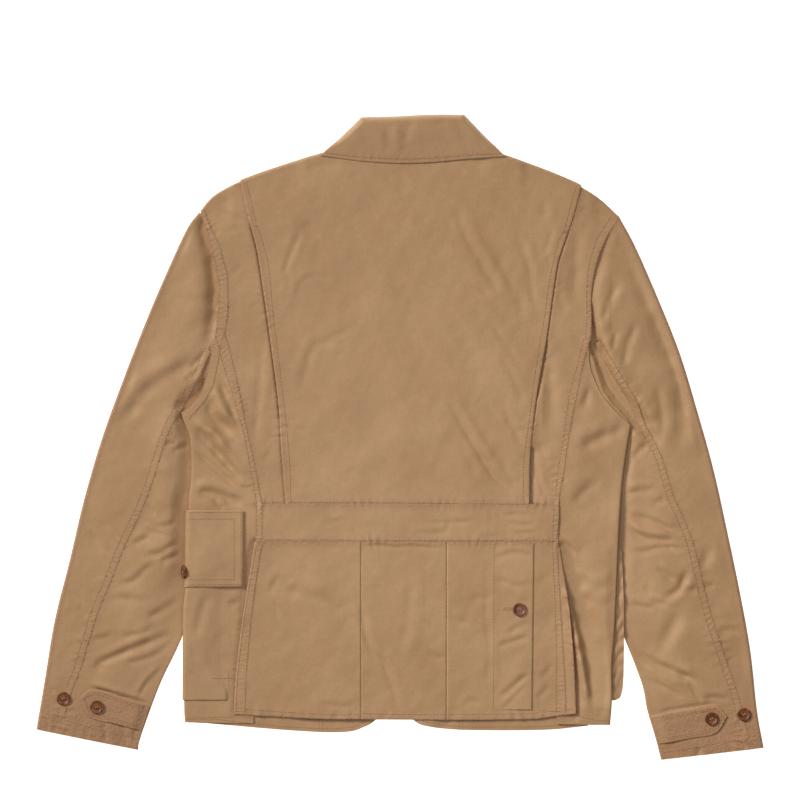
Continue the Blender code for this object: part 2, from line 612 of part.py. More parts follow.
def collar():
    """Fall that is turned down over the back, the stand inside it and the two front ends."""
    top = [(-47, 385), (-6, 386), (36, 388), (77, 388)]
    edge = [(-95, 338), (-50, 332), (-6, 329), (36, 330), (82, 334), (127, 337)]
    left = [(-47, 385), (-53, 378), (-95, 338)]
    right = [(77, 388), (119, 344), (127, 337)]
    across = [0, 0.008, 0.03, 0.07, 0.16, 0.28, 0.4, 0.5, 0.6, 0.72, 0.84, 0.93, 0.97, 0.992, 1]
    down = [0, 0.03, 0.1, 0.22, 0.42, 0.62, 0.82, 1.0]
    plan = patch(top, edge, left, right, across, down)
    x, y = plan[..., 0], plan[..., 1]
    away = np.minimum(distance_to(top, x, y), np.minimum(distance_to(left, x, y),
                                                         distance_to(right, x, y)))
    share = np.sqrt(1.0 - (1.0 - np.clip(away / COLLAR_ROLL, 0.0, 1.0)) ** 2)
    down = np.array(down)[:, None]
    crest = COLLAR_EDGE_HEIGHT + (COLLAR_TOP_HEIGHT - COLLAR_EDGE_HEIGHT) * smooth((1 - down) / 0.7)
    foot = 0.4 + (COLLAR_EDGE_HEIGHT - 0.8) * smooth((down - 0.5) / 0.3)
    cloth("collar_fall", lifted(plan, foot + (crest - foot) * share), 1)

    plan = patch([(-44, 381), (-6, 382.5), (36, 384.5), (74, 384.5)],
                 [(-82, 346.5), *[(x, y + 3.5) for x, y in NECK[1:-1]], (111, 345.5)],
                 [(-44, 381), (-82, 346.5)], [(74, 384.5), (111, 345.5)], shares(12), shares(2))
    cloth("collar_stand", lifted(plan, np.full(plan.shape[:2], STAND_HEIGHT)), 1)

    for name, mirror in (("collar_front_left", -1), ("collar_front_right", 1)):
        middle = centre_line(330.0)
        fold = [(middle + mirror * dx, y) for dx, y in ((52, 375), (66, 330), (52, 290), (14, 262))]
        point = [(middle + mirror * dx, y) for dx, y in ((100, 340), (104, 290), (96, 236))]
        plan = patch([fold[0], point[0]], [fold[-1], point[-1]], fold, point, shares(4), shares(8))
        cloth(name, lifted(plan, np.zeros(plan.shape[:2])), -1)


# ------------------------------------------------------------------ sleeves

def crossing(row, seam, side):
    """Share along a row at which it meets the sleeve's back seam."""
    fine = np.linspace(0.0, 1.0, 161)
    points = np.column_stack([np.interp(fine, row[0], row[1][:, k]) for k in range(2)])
    dense = through(seam, np.linspace(0.0, 1.0, 120))
    gaps = np.linalg.norm(points[:, None] - dense[None], axis=2).min(axis=1)
    return fine[int(np.argmin(gaps))]


def sleeve(side):
    """Both pieces of a sleeve: a flat tube, parted at the back seam and a hidden seam below."""
    if side < 0:
        word, outer, inner, seam = "left", SLEEVE_OUTER_LEFT, SLEEVE_INNER_LEFT, SLEEVE_SEAM_LEFT
        hole = ARMHOLE_LEFT + UNDERARM_LEFT[1:2] + inner[:1]
    else:
        word, outer, inner, seam = "right", SLEEVE_OUTER_RIGHT, SLEEVE_INNER_RIGHT, SLEEVE_SEAM_RIGHT
        hole = ARMHOLE_RIGHT + UNDERARM_RIGHT[1:2] + inner[:1]
    outer_points = through(outer, column(SLEEVE_STATIONS, 0))
    inner_points = through(inner, column(SLEEVE_STATIONS, 1))
    fine = np.linspace(0.0, 1.0, 41)
    armhole = through(hole, fine)
    bulge = armhole - armhole[0] - (armhole[-1] - armhole[0]) * fine[:, None]
    upper, lower = [], []
    for (share, _, crest), start, end in zip(SLEEVE_STATIONS, outer_points, inner_points):
        line = start + (end - start) * fine[:, None]
        line = line + bulge * max(0.0, 1.0 - share / BULGE_REACH) ** 1.3
        if share == 0.0:
            line = line + np.array([side * 2 * SEAM_GAP, 0.0])
        seam_share = crossing((fine, line), seam, side)
        length = np.linalg.norm(end - start)
        pick = lambda s: np.array([np.interp(s, fine, line[:, 0]), np.interp(s, fine, line[:, 1])])
        start_in = SLEEVE_OUTER_RADIUS / length
        end_in = 1.0 - SLEEVE_INNER_RADIUS / length

        def height(s):
            from_outer = (s - start_in) * length
            from_inner = (end_in - s) * length
            low_outer, low_inner = 2 * SLEEVE_OUTER_RADIUS, 2 * SLEEVE_INNER_RADIUS
            value = low_outer + (crest - low_outer) * smooth(from_outer / 60.0)
            return low_inner + (value - low_inner) * smooth(from_inner / 95.0)

        def turn(at, out, radius, angles):
            return [np.array([*(at + out * radius * np.sin(a)), radius + radius * np.cos(a)])
                    for a in angles]

        along = (pick(0.0) - pick(start_in)) / np.linalg.norm(pick(0.0) - pick(start_in))
        back = (pick(1.0) - pick(end_in)) / np.linalg.norm(pick(1.0) - pick(end_in))
        angles = np.linspace(0.0, np.pi, 5)
        gap = SEAM_GAP / length
        ring = [np.array([*pick(s), height(s)])
                for s in np.linspace(seam_share - gap, start_in, 6)[:-1]]
        ring += turn(pick(start_in), along, SLEEVE_OUTER_RADIUS, angles)
        ring += [np.array([*pick(s), 0.0])
                 for s in np.linspace(start_in, UNDER_SEAM_SHARE - gap, 3)[1:]]
        upper.append(ring)
        ring = [np.array([*pick(s), height(s)])
                for s in np.linspace(seam_share + gap, end_in, 5)[:-1]]
        ring += turn(pick(end_in), back, SLEEVE_INNER_RADIUS, angles)
        ring += [np.array([*pick(s), 0.0])
                 for s in np.linspace(end_in, UNDER_SEAM_SHARE + gap, 4)[1:]]
        lower.append(ring)
    cloth(f"sleeve_outer_{word}", np.array(upper), 1)
    cloth(f"sleeve_inner_{word}", np.array(lower), 1)


def cuff(side):
    """Buttoned tab on a cuff, with its button and the spare one beside it."""
    crest = SLEEVE_STATIONS[-1][2]
    if side < 0:
        word = "left"
        upper = [(-384, -311), (-365, -301), (-310, -318), (-303, -322)]
        lower = [(-384, -312), (-371, -335), (-342, -342), (-315, -350)]
        tab_button, spare_button = (-363, -322), (-403, -312)
    else:
        word = "right"
        upper = [(392, -333), (376, -320), (340, -326), (306, -332)]
        lower = [(392, -334), (378, -354), (348, -360), (316, -366)]
        tab_button, spare_button = (373, -336), (412, -331)
    down = shares(2)
    plan = patch(upper, lower, [upper[0], lower[0]], [upper[-1], lower[-1]], shares(8), down)
    cloth(f"cuff_tab_{word}", lifted(plan, np.full(plan.shape[:2], crest + LAP)), 1)
    button(f"cuff_tab_button_{word}", (*tab_button, crest + LAP + 0.4))
    button(f"cuff_spare_button_{word}", (*spare_button, crest + 0.4))


# ------------------------------------------------------------------ the whole jacket

for old in list(bpy.data.objects):
    bpy.data.objects.remove(old, do_unlink=True)

back_centre()
waistband()
skirt()
rear_pocket()
for wearer_side in (-1, 1):
    back_side(wearer_side)
    side_panel(wearer_side)
    front(wearer_side)
    sleeve(wearer_side)
    cuff(wearer_side)
left_pocket()
right_pocket()
front_buttons()
collar()
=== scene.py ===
"""Field jacket laid flat on its front, back up: the finish of every piece.

Sizes are in millimetres until a mesh is made. A run of (column, row) pairs is counted on
a cutting mat with squares of 1.2 mm, from its left and its top edge. Left and right are
the wearer's own. Each cut piece of cloth is a thin shell whose outer face is worked out
from the lie of the layers below it, its creases and the gathers along its seams. Seam
folds, stitches and buttons are then laid on those shells.
"""
from __future__ import annotations

import logging
from dataclasses import dataclass, field
from enum import Enum
from typing import Sequence

import bpy
import numpy as np
from mathutils import Matrix, Vector
from mathutils.bvhtree import BVHTree


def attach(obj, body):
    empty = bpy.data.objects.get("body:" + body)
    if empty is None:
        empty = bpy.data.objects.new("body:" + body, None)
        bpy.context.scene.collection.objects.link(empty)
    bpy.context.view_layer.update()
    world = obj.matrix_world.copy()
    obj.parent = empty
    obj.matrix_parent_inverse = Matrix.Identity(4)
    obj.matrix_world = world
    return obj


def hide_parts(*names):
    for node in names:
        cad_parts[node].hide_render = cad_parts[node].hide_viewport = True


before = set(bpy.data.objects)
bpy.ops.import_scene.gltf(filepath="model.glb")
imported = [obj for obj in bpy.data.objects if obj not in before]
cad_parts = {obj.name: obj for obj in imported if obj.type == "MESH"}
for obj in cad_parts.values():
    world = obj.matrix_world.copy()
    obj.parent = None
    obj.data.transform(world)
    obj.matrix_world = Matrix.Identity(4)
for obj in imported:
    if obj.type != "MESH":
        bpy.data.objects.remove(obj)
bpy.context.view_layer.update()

MM = 0.001
Point = tuple[float, float]
Path = Sequence[Point]
Row = tuple[float, float, str]
log = logging.getLogger("jacket")


class Side(Enum):
    """The wearer's two sides, as signs along X."""

    LEFT = -1
    RIGHT = 1


class Facing(Enum):
    """Where the outer face of a piece looks."""

    UP = 1
    DOWN = -1


def ease(value: np.ndarray | float) -> np.ndarray:
    """Ease from 0 to 1 as the value goes from 0 to 1."""
    value = np.clip(value, 0.0, 1.0)
    return value * value * (3.0 - 2.0 * value)


def plateau(value: np.ndarray, low: float, high: float, slope: float) -> np.ndarray:
    """1 from low to high, easing to 0 at a slope's length outside them."""
    return ease((value - low) / slope + 1.0) * ease((high - value) / slope + 1.0)


def spread(length: float, step: float, rim: float = 0.0, fine: float = 1.5) -> np.ndarray:
    """Shares from 0 to 1, closer together near both ends.

    Args:
        length: length that the shares divide, in millimetres.
        step: distance between them away from the ends.
        rim: length at each end that has finer steps.
        fine: distance between the finer steps.

    Returns:
        The shares as an array.
    """
    if rim <= 0.0:
        return np.linspace(0.0, 1.0, max(2, round(length / step)) + 1)
    edge = np.linspace(0.0, rim / length, max(2, round(rim / fine)) + 1)
    middle = np.linspace(edge[-1], 1.0 - edge[-1], max(2, round((length - 2 * rim) / step)) + 1)
    return np.concatenate([edge[:-1], middle, 1.0 - edge[-2::-1]])


def track(text: str) -> list[Point]:
    """Read a run that is written as "x,y x,y ..."."""
    return [(float(x), float(y)) for x, y in (pair.split(",") for pair in text.split())]


@dataclass(frozen=True)
class Mat:
    """Cutting mat: its squares, and the square that lies on the frame's origin."""

    square: float = 1.2
    column: float = 400.0
    row: float = 438.0

    def lay(self, points: Path | str) -> np.ndarray:
        """Mat places as millimetres."""
        flat = np.array(track(points) if isinstance(points, str) else points, float)
        return np.column_stack([(flat[:, 0] - self.column) * self.square,
                                (self.row - flat[:, 1]) * self.square])


MAT = Mat()


class Run:
    """A line through a few places, rounded as a draughtsman's curve would be."""

    def __init__(self, places: Path | np.ndarray, rounded: bool = True, steps: int = 8) -> None:
        """Take the places in millimetres, and sample the rounded line."""
        knots = np.array(places, float)
        if rounded and len(knots) > 2:
            share = np.linspace(0.0, 1.0, steps + 1)[:-1, None]
            ends = np.vstack([2 * knots[0] - knots[1], knots, 2 * knots[-1] - knots[-2]])
            parts = [0.5 * (2 * b + (c - a) * share + (2 * a - 5 * b + 4 * c - d) * share ** 2
                            + (3 * b - a - 3 * c + d) * share ** 3)
                     for a, b, c, d in zip(ends, ends[1:], ends[2:], ends[3:])]
            knots = np.vstack(parts + [knots[-1:]])
        self.points = knots
        steps_along = np.linalg.norm(np.diff(knots, axis=0), axis=1)
        self.lengths = np.r_[0.0, np.cumsum(steps_along)]
        self.length = float(self.lengths[-1])

    @classmethod
    def on_mat(cls, places: Path | str, rounded: bool = True) -> Run:
        """The run through places on the cutting mat."""
        return cls(MAT.lay(places), rounded)

    def at(self, shares: np.ndarray) -> np.ndarray:
        """Points at shares of the run's length."""
        wanted = np.asarray(shares, float) * self.length
        return np.column_stack([np.interp(wanted, self.lengths, self.points[:, k])
                                for k in range(2)])

    def even(self, step: float) -> np.ndarray:
        """Points along the run at an even step."""
        return self.at(np.linspace(0.0, 1.0, max(2, round(self.length / step)) + 1))

    def near(self, x: np.ndarray, y: np.ndarray) -> tuple[np.ndarray, np.ndarray]:
        """Measure from points to the run.

        Args:
            x: the points' X.
            y: the points' Y.

        Returns:
            Distances, positive on the left of the way it runs, and shares of its length.
        """
        best = np.full(np.shape(x), np.inf)
        sign = np.ones(np.shape(x))
        share = np.zeros(np.shape(x))
        for (ax, ay), (bx, by), start, end in zip(self.points, self.points[1:],
                                                  self.lengths, self.lengths[1:]):
            dx, dy = bx - ax, by - ay
            along = np.clip(((x - ax) * dx + (y - ay) * dy) / max(dx * dx + dy * dy, 1e-9), 0, 1)
            away = np.hypot(x - ax - along * dx, y - ay - along * dy)
            closer = away < best
            best = np.where(closer, away, best)
            sign = np.where(closer, np.sign(dx * (y - ay) - dy * (x - ax)), sign)
            share = np.where(closer, (start + along * (end - start)) / self.length, share)
        return best * np.where(sign == 0, 1.0, sign), share


def ripple(along: np.ndarray, pitch: float, seed: int) -> np.ndarray:
    """Uneven ripples along a length: waves of about one pitch, from -1 to 1 or so."""
    chance = np.random.default_rng(seed)
    total = np.zeros(np.shape(along))
    for _ in range(7):
        total += np.cos(2 * np.pi * along / (pitch * chance.uniform(0.7, 1.7))
                        + chance.uniform(0, 2 * np.pi))
    return total / 2.6


def swell(x: np.ndarray, y: np.ndarray, size: float, seed: int) -> np.ndarray:
    """Soft unevenness of cloth laid by hand: plane waves that run all ways."""
    chance = np.random.default_rng(seed)
    total = np.zeros(np.shape(x))
    for _ in range(16):
        way = chance.uniform(0, np.pi)
        wave = size * chance.uniform(0.6, 1.8)
        total += np.cos(2 * np.pi * (x * np.cos(way) + y * np.sin(way)) / wave
                        + chance.uniform(0, 2 * np.pi))
    return total / 4.0


@dataclass(frozen=True)
class Crease:
    """One soft ridge or trough with a broad shoulder on its left, fading out at both ends."""

    half_width: float
    height: float
    run: Run

    def lift(self, x: np.ndarray, y: np.ndarray) -> np.ndarray:
        """Height that the crease adds at points."""
        reach = 3.2 * self.half_width
        low, high = self.run.points.min(axis=0) - reach, self.run.points.max(axis=0) + reach
        inside = (x > low[0]) & (x < high[0]) & (y > low[1]) & (y < high[1])
        total = np.zeros(np.shape(x))
        if inside.any():
            away, share = self.run.near(x[inside], y[inside])
            across = away / (1.15 * self.half_width)
            fade = ease(share / 0.27) * ease((1.0 - share) / 0.27)
            uneven = 1.0 + 0.18 * ripple(share * self.run.length, 26.0, int(reach * 10))
            profile = np.exp(-across ** 2) - 0.38 * np.exp(-((across - 1.7) / 1.6) ** 2)
            total[inside] = self.height * profile * fade * uneven
        return total


@dataclass(frozen=True)
class Gather:
    """Small puckers that stitches draw up on both sides of a seam."""

    run: Run
    reach: float
    height: float
    pitch: float
    seed: int

    def lift(self, x: np.ndarray, y: np.ndarray) -> np.ndarray:
        """Height that the puckers add at points."""
        low = self.run.points.min(axis=0) - 2.6 * self.reach
        high = self.run.points.max(axis=0) + 2.6 * self.reach
        inside = (x > low[0]) & (x < high[0]) & (y > low[1]) & (y < high[1])
        total = np.zeros(np.shape(x))
        if inside.any():
            away, share = self.run.near(x[inside], y[inside])
            along = share * self.run.length
            slant = away * 0.5 * ripple(along, 60.0, self.seed + 7)
            strong = 0.55 + 0.45 * ripple(along, 90.0, self.seed + 3)
            wave = ripple(along + slant, self.pitch, self.seed)
            total[inside] = self.height * wave * strong * np.exp(-(away / self.reach) ** 2)
        return total

    def closeness(self, x: np.ndarray, y: np.ndarray) -> np.ndarray:
        """1 on the seam, fading to 0 a few millimetres away."""
        away, _ = self.run.near(x, y)
        return np.exp(-(away / 5.0) ** 2)


class Relief:
    """All that lifts a piece of cloth off the plain lie of its layers."""

    def __init__(self, creases: Sequence[Row] = (), gathers: Sequence[Gather] = (),
                 loose: float = 0.35, seed: int = 11, depth: float = 2.1) -> None:
        """Take the crease table, the gathers and how loosely the cloth lies.

        Args:
            creases: rows of half width and height in mm, and the run on the mat.
            gathers: puckers along the seams.
            loose: height of the soft unevenness, in mm.
            seed: which unevenness it is.
            depth: factor on the height of all creases.
        """
        self.creases = [Crease(w, h * depth, Run.on_mat(path)) for w, h, path in creases]
        self.gathers = list(gathers)
        self.loose = loose
        self.seed = seed

    def at(self, x: np.ndarray, y: np.ndarray) -> np.ndarray:
        """Height of the relief at points."""
        total = self.loose * (swell(x, y, 85.0, self.seed) + 0.35 * swell(x, y, 30.0, self.seed + 1))
        for part in (*self.creases, *self.gathers):
            total = total + part.lift(x, y)
        return total

    def seam_share(self, x: np.ndarray, y: np.ndarray) -> np.ndarray:
        """How near each point is to a stitched seam, from 0 to 1."""
        share = np.zeros(np.shape(x))
        for part in self.gathers:
            share = np.maximum(share, part.closeness(x, y))
        return share


def patch(top: Run, bottom: Run, left: Run, right: Run,
          across: np.ndarray, down: np.ndarray) -> np.ndarray:
    """Fill the space between four edges with an even net.

    Args:
        top: edge from the left corner to the right one.
        bottom: the same below it.
        left: edge from the top corner down.
        right: the same on the other side.
        across: shares along top and bottom.
        down: shares along left and right.

    Returns:
        The net as rows by columns of (x, y).
    """
    u, v = across[None, :, None], down[:, None, None]
    above, below = top.at(across)[None], bottom.at(across)[None]
    near, far = left.at(down)[:, None], right.at(down)[:, None]
    corners = ((1 - u) * (1 - v) * above[:, :1] + u * (1 - v) * above[:, -1:]
               + (1 - u) * v * below[:, :1] + u * v * below[:, -1:])
    return (1 - v) * above + v * below + (1 - u) * near + u * far - corners


def square(points: np.ndarray) -> np.ndarray:
    """Unit normals of a sampled line, to the left of the way it runs."""
    run = np.gradient(points, axis=0)
    normal = np.column_stack([-run[:, 1], run[:, 0]])
    return normal / np.linalg.norm(normal, axis=1)[:, None]


def towards(points: np.ndarray, middle: Point) -> np.ndarray:
    """Unit normals of a sampled line, on the side of a middle point."""
    normal = square(points)
    return normal * np.sign(np.sum(normal * (np.array(middle) - points), axis=1))[:, None]


def lifted(plan: np.ndarray, height: np.ndarray) -> np.ndarray:
    """A net of (x, y, z) from its plan and its heights."""
    return np.concatenate([plan, np.asarray(height)[..., None]], axis=2)


def half_turn(edge: np.ndarray, inward: np.ndarray, low: np.ndarray, radius: float,
              segments: int = 8) -> list[np.ndarray]:
    """Rows of a half-round fold, from its top to its foot.

    Args:
        edge: plan of the fold's centre line.
        inward: unit normals that point into the piece.
        low: height of the fold's lower face.
        radius: outer radius of the fold.
        segments: number of strips round it.

    Returns:
        One row of (x, y, z) for each angle after the first.
    """
    rows = []
    for angle in np.linspace(0.0, np.pi, segments + 1)[1:]:
        plan = edge - inward * radius * np.sin(angle)
        rows.append(np.column_stack([plan, low + radius + radius * np.cos(angle)]))
    return rows


# ---------------------------------------------------------------- the jacket's lines

class Line:
    """Edges and seams that several pieces share, in millimetres, from the top down."""

    SHOULDER_LEFT = [(-84, 343), (-115, 334), (-161, 319), (-198, 305), (-224, 290), (-240, 272)]
    SHOULDER_RIGHT = [(113, 342), (137, 334), (178, 319), (211, 305), (238, 288), (262, 266)]
    NECK = [(-84, 343), (-60, 351), (-6, 356), (50, 355), (90, 350), (113, 342)]
    SIDE_LEFT = [(-262, 28), (-252, 0), (-250, -34), (-251, -59), (-253, -76), (-254, -170),
                 (-258, -205), (-259, -314), (-258, -341)]
    SIDE_RIGHT = [(277, 16), (272, -11), (267, -47), (264, -82), (262, -116), (257, -229),
                  (254, -269), (254, -310), (252, -344)]
    ARMHOLE_LEFT = [(-240, 272), (-229, 246), (-220, 214), (-215, 178), (-217, 148), (-219, 127)]
    ARMHOLE_RIGHT = [(262, 266), (245, 239), (234, 211), (228, 174), (228, 140), (227, 118)]
    UNDERARM_LEFT = [(-219, 127), (-226, 94), (-235, 59), (-247, 41), (-262, 28)]
    UNDERARM_RIGHT = [(227, 118), (228, 86), (242, 53), (258, 34), (277, 16)]
    BACK_SEAM_LEFT = [(-219, 127), (-209, 100), (-199, 62), (-190, 28), (-181, -8), (-175, -48),
                      (-170, -78.5)]
    BACK_SEAM_RIGHT = [(227, 118), (216, 88), (206, 55), (199, 16), (194, -14), (190, -50),
                       (187, -78.5)]
    PLEAT_LEFT = [(-191, 308), (-180, 259), (-172, 229), (-166, 193), (-152, 94), (-145, 34),
                  (-142, -17), (-137, -78.5)]
    PLEAT_RIGHT = [(217, 301), (208, 266), (194, 226), (187, 199), (175, 115), (163, 46),
                   (156, -20), (155, -78.5)]
    VENT_LEFT = [(-174, -124), (-180, -162), (-186, -198), (-192, -241), (-197, -289),
                 (-199, -331)]
    VENT_RIGHT = [(190, -124), (199, -178), (205, -229), (209, -280), (211, -330)]
    HEM = [(-199, -331), (-149, -334), (-89, -337), (56, -338), (155, -337), (182, -334),
           (211, -330)]
    WAIST_TOP = -78.5
    WAIST_BOTTOM = -124.0


@dataclass(frozen=True)
class Lay:
    """How the layers lie on each other: the heights of all outer faces."""

    lap: float = 1.7
    pocket_lap: float = 1.95
    gap: float = 0.06
    side_radius: float = 2.2
    shoulder_radius: float = 3.2
    shoulder_leg: float = 12.0
    button_rise: float = 3.0
    back: Path = ((-345, 4.4), (-300, 5.6), (-250, 7.4), (-200, 8.2), (-124, 8.8), (0, 9.2),
                  (100, 9.5), (300, 9.8), (390, 9.3))
    rise_left: Path = ((-345, 0.8), (-320, 2.2), (-250, 6.4), (-220, 6.4), (-182, 8.2),
                       (-78, 8.2), (-50, 4.4), (0, 4.6), (30, 5.6))
    rise_right: Path = ((-345, 1.0), (-322, 6.5), (-95, 6.5), (-62, 4.4), (0, 4.6), (30, 5.6))
    hidden_button: Point = (166.0, -160.0)
    flap: Point = (-178.0, -86.0)
    bag_bottom: float = -314.0

    def centre_line(self, y: np.ndarray | float) -> np.ndarray | float:
        """X of the jacket's middle, which leans a little to the wearer's right."""
        return -3.0 + (y + 340.0) * 0.0265

    def side_rise(self, y: np.ndarray, side: Side) -> np.ndarray:
        """Height of a side fold's lower face."""
        rows = np.array(self.rise_left if side is Side.LEFT else self.rise_right)
        return np.interp(y, rows[:, 0], rows[:, 1])

    def shoulder_rise(self, x: np.ndarray) -> np.ndarray:
        """Height of a shoulder fold's lower face, over the collar's front ends at the neck."""
        away = np.abs(x - self.centre_line(330.0))
        return self.lap * (2.0 - ease((away - 126.0) / 14.0) - ease((away - 212.0) / 14.0))

    def button_dome(self, x: np.ndarray, y: np.ndarray) -> np.ndarray:
        """Height that the right flap's hidden button gives the cloth over it."""
        away = np.hypot(x - self.hidden_button[0], y - self.hidden_button[1])
        return self.button_rise * (1.0 - ease((away - 16.0) / 42.0))

    def soft_folds(self, x: np.ndarray, y: np.ndarray) -> np.ndarray:
        """The largest soft folds of the back."""
        bx, by = self.hidden_button
        total = np.zeros(np.shape(x))
        for start, end, width, height in (
                ((228, -150), (242, -300), 26, 2.2), ((-205, 40), (-150, -30), 30, 1.0),
                ((238, 30), (205, -60), 26, 1.2), ((-110, -190), (-60, -300), 34, 0.8),
                ((100, 180), (150, 40), 40, 0.8), ((bx, by + 4), (bx, by - 4), 70, 1.6)):
            away, _ = Run([start, end]).near(x, y)
            total = total + height * (1.0 - ease(np.abs(away) / width))
        return total

    def ground(self, x: np.ndarray, y: np.ndarray) -> np.ndarray:
        """Outer face of the back's lowest cloth."""
        rows = np.array(self.back)
        height = np.interp(y, rows[:, 0], rows[:, 1]) + self.soft_folds(x, y)
        top = self.shoulder_rise(x) + 2 * self.shoulder_radius
        for line, edge, radius, reach in (
                (Line.SIDE_LEFT, self.side_rise(y, Side.LEFT) + 2 * self.side_radius,
                 self.side_radius, 60.0),
                (Line.SIDE_RIGHT, self.side_rise(y, Side.RIGHT) + 2 * self.side_radius,
                 self.side_radius, 60.0),
                (Line.SHOULDER_LEFT, top, self.shoulder_radius, 50.0),
                (Line.NECK, top, self.shoulder_radius, 50.0),
                (Line.SHOULDER_RIGHT, top, self.shoulder_radius, 50.0)):
            away, _ = Run(line, rounded=False).near(x, y)
            height = edge + (height - edge) * ease((np.abs(away) - radius) / reach)
        return height

    def under_layers(self, x: np.ndarray, y: np.ndarray) -> np.ndarray:
        """Height of what lies between the fronts and the surface: buttons, pockets, collar."""
        middle = x - self.centre_line(y)
        low, high = self.flap
        strip = self.button_rise * plateau(middle, -34, 34, 30) * plateau(y, -190, 220, 45)
        tall = (plateau(y, self.bag_bottom - 14, high + 14, 40)
                + plateau(y, low - 14, high + 14, 40))
        pockets = self.pocket_lap * tall * (plateau(x, -300, -138, 26) + plateau(x, 80, 320, 26))
        collar = self.lap * plateau(middle, -122, 122, 20) * plateau(y, 212, 420, 26)
        return np.maximum(strip, collar) + pockets + self.button_dome(x, y)

    def front(self, x: np.ndarray, y: np.ndarray) -> np.ndarray:
        """Outer, lower face of the fronts and of the sides' cloth on the underside."""
        height = self.under_layers(x, y)
        for line, side in ((Line.SIDE_LEFT, Side.LEFT), (Line.SIDE_RIGHT, Side.RIGHT)):
            away, _ = Run(line, rounded=False).near(x, y)
            rise = self.side_rise(y, side)
            height = rise + (height - rise) * ease((np.abs(away) - self.side_radius) / 40.0)
        return height


LAY = Lay()


# ---------------------------------------------------------------- finishes

def linear(code: str, strength: float = 1.0) -> tuple[float, float, float, float]:
    """Turn an sRGB hex colour to the linear values that a shader takes.

    Args:
        code: the colour, such as "#AD8B67".
        strength: factor on its brightness.

    Returns:
        Red, green, blue and alpha.
    """
    values = [int(code[k:k + 2], 16) / 255.0 for k in (1, 3, 5)]
    made = [v / 12.92 if v <= 0.04045 else ((v + 0.055) / 1.055) ** 2.4 for v in values]
    return (*(v * strength for v in made), 1.0)


def add_node(tree: bpy.types.NodeTree, kind: str, settings: dict | None = None,
             inputs: dict | None = None) -> bpy.types.Node:
    """Add a node to a material.

    Args:
        tree: the material's node tree.
        kind: Blender's name of the node's type.
        settings: its own settings by name.
        inputs: its sockets by name or number, each a value or a socket to link from.

    Returns:
        The node.
    """
    made = tree.nodes.new(kind)
    for name, value in (settings or {}).items():
        setattr(made, name, value)
    for key, value in (inputs or {}).items():
        if isinstance(value, bpy.types.NodeSocket):
            tree.links.new(value, made.inputs[key])
        else:
            made.inputs[key].default_value = value
    return made


@dataclass(frozen=True)
class Finish:
    """What all finishes have: a name, a roughness and a pattern on the object's own places."""

    name: str = "plain"
    roughness: float = 0.8

    def start(self) -> tuple[bpy.types.Material, bpy.types.NodeTree, bpy.types.NodeSocket]:
        """Start the material.

        Returns:
            The material, its node tree and the place of each point.
        """
        made = bpy.data.materials.new(self.name)
        made.use_nodes = True
        tree = made.node_tree
        tree.nodes["Principled BSDF"].inputs["Roughness"].default_value = self.roughness
        return made, tree, add_node(tree, "ShaderNodeTexCoord").outputs["Object"]

    def grain(self, tree: bpy.types.NodeTree, place: bpy.types.NodeSocket, size: float,
              detail: float = 2.0, roughness: float = 0.6) -> bpy.types.NodeSocket:
        """Noise whose clouds are about a size in millimetres."""
        return add_node(tree, "ShaderNodeTexNoise", inputs={
            "Vector": place, "Scale": 1000 / size, "Detail": detail,
            "Roughness": roughness}).outputs["Fac"]

    def blend(self, tree: bpy.types.NodeTree, share: bpy.types.NodeSocket, one: object,
              other: object) -> bpy.types.NodeSocket:
        """Mix two colours by a share."""
        return add_node(tree, "ShaderNodeMix", {"data_type": "RGBA"},
                        {0: share, 6: one, 7: other}).outputs[2]

    def finish(self, tree: bpy.types.NodeTree, colour: bpy.types.NodeSocket,
               bumps: Sequence[tuple[bpy.types.NodeSocket, float, float]] = ()) -> None:
        """Link the colour and a chain of bumps to the shader.

        Args:
            tree: the material's node tree.
            colour: the colour.
            bumps: height, strength and distance in millimetres of each bump.
        """
        shader = tree.nodes["Principled BSDF"]
        tree.links.new(colour, shader.inputs["Base Color"])
        normal = None
        for height, strength, distance in bumps:
            inputs = {"Height": height, "Strength": strength, "Distance": distance * MM}
            if normal is not None:
                inputs["Normal"] = normal
            normal = add_node(tree, "ShaderNodeBump", inputs=inputs).outputs["Normal"]
        if normal is not None:
            tree.links.new(normal, shader.inputs["Normal"])


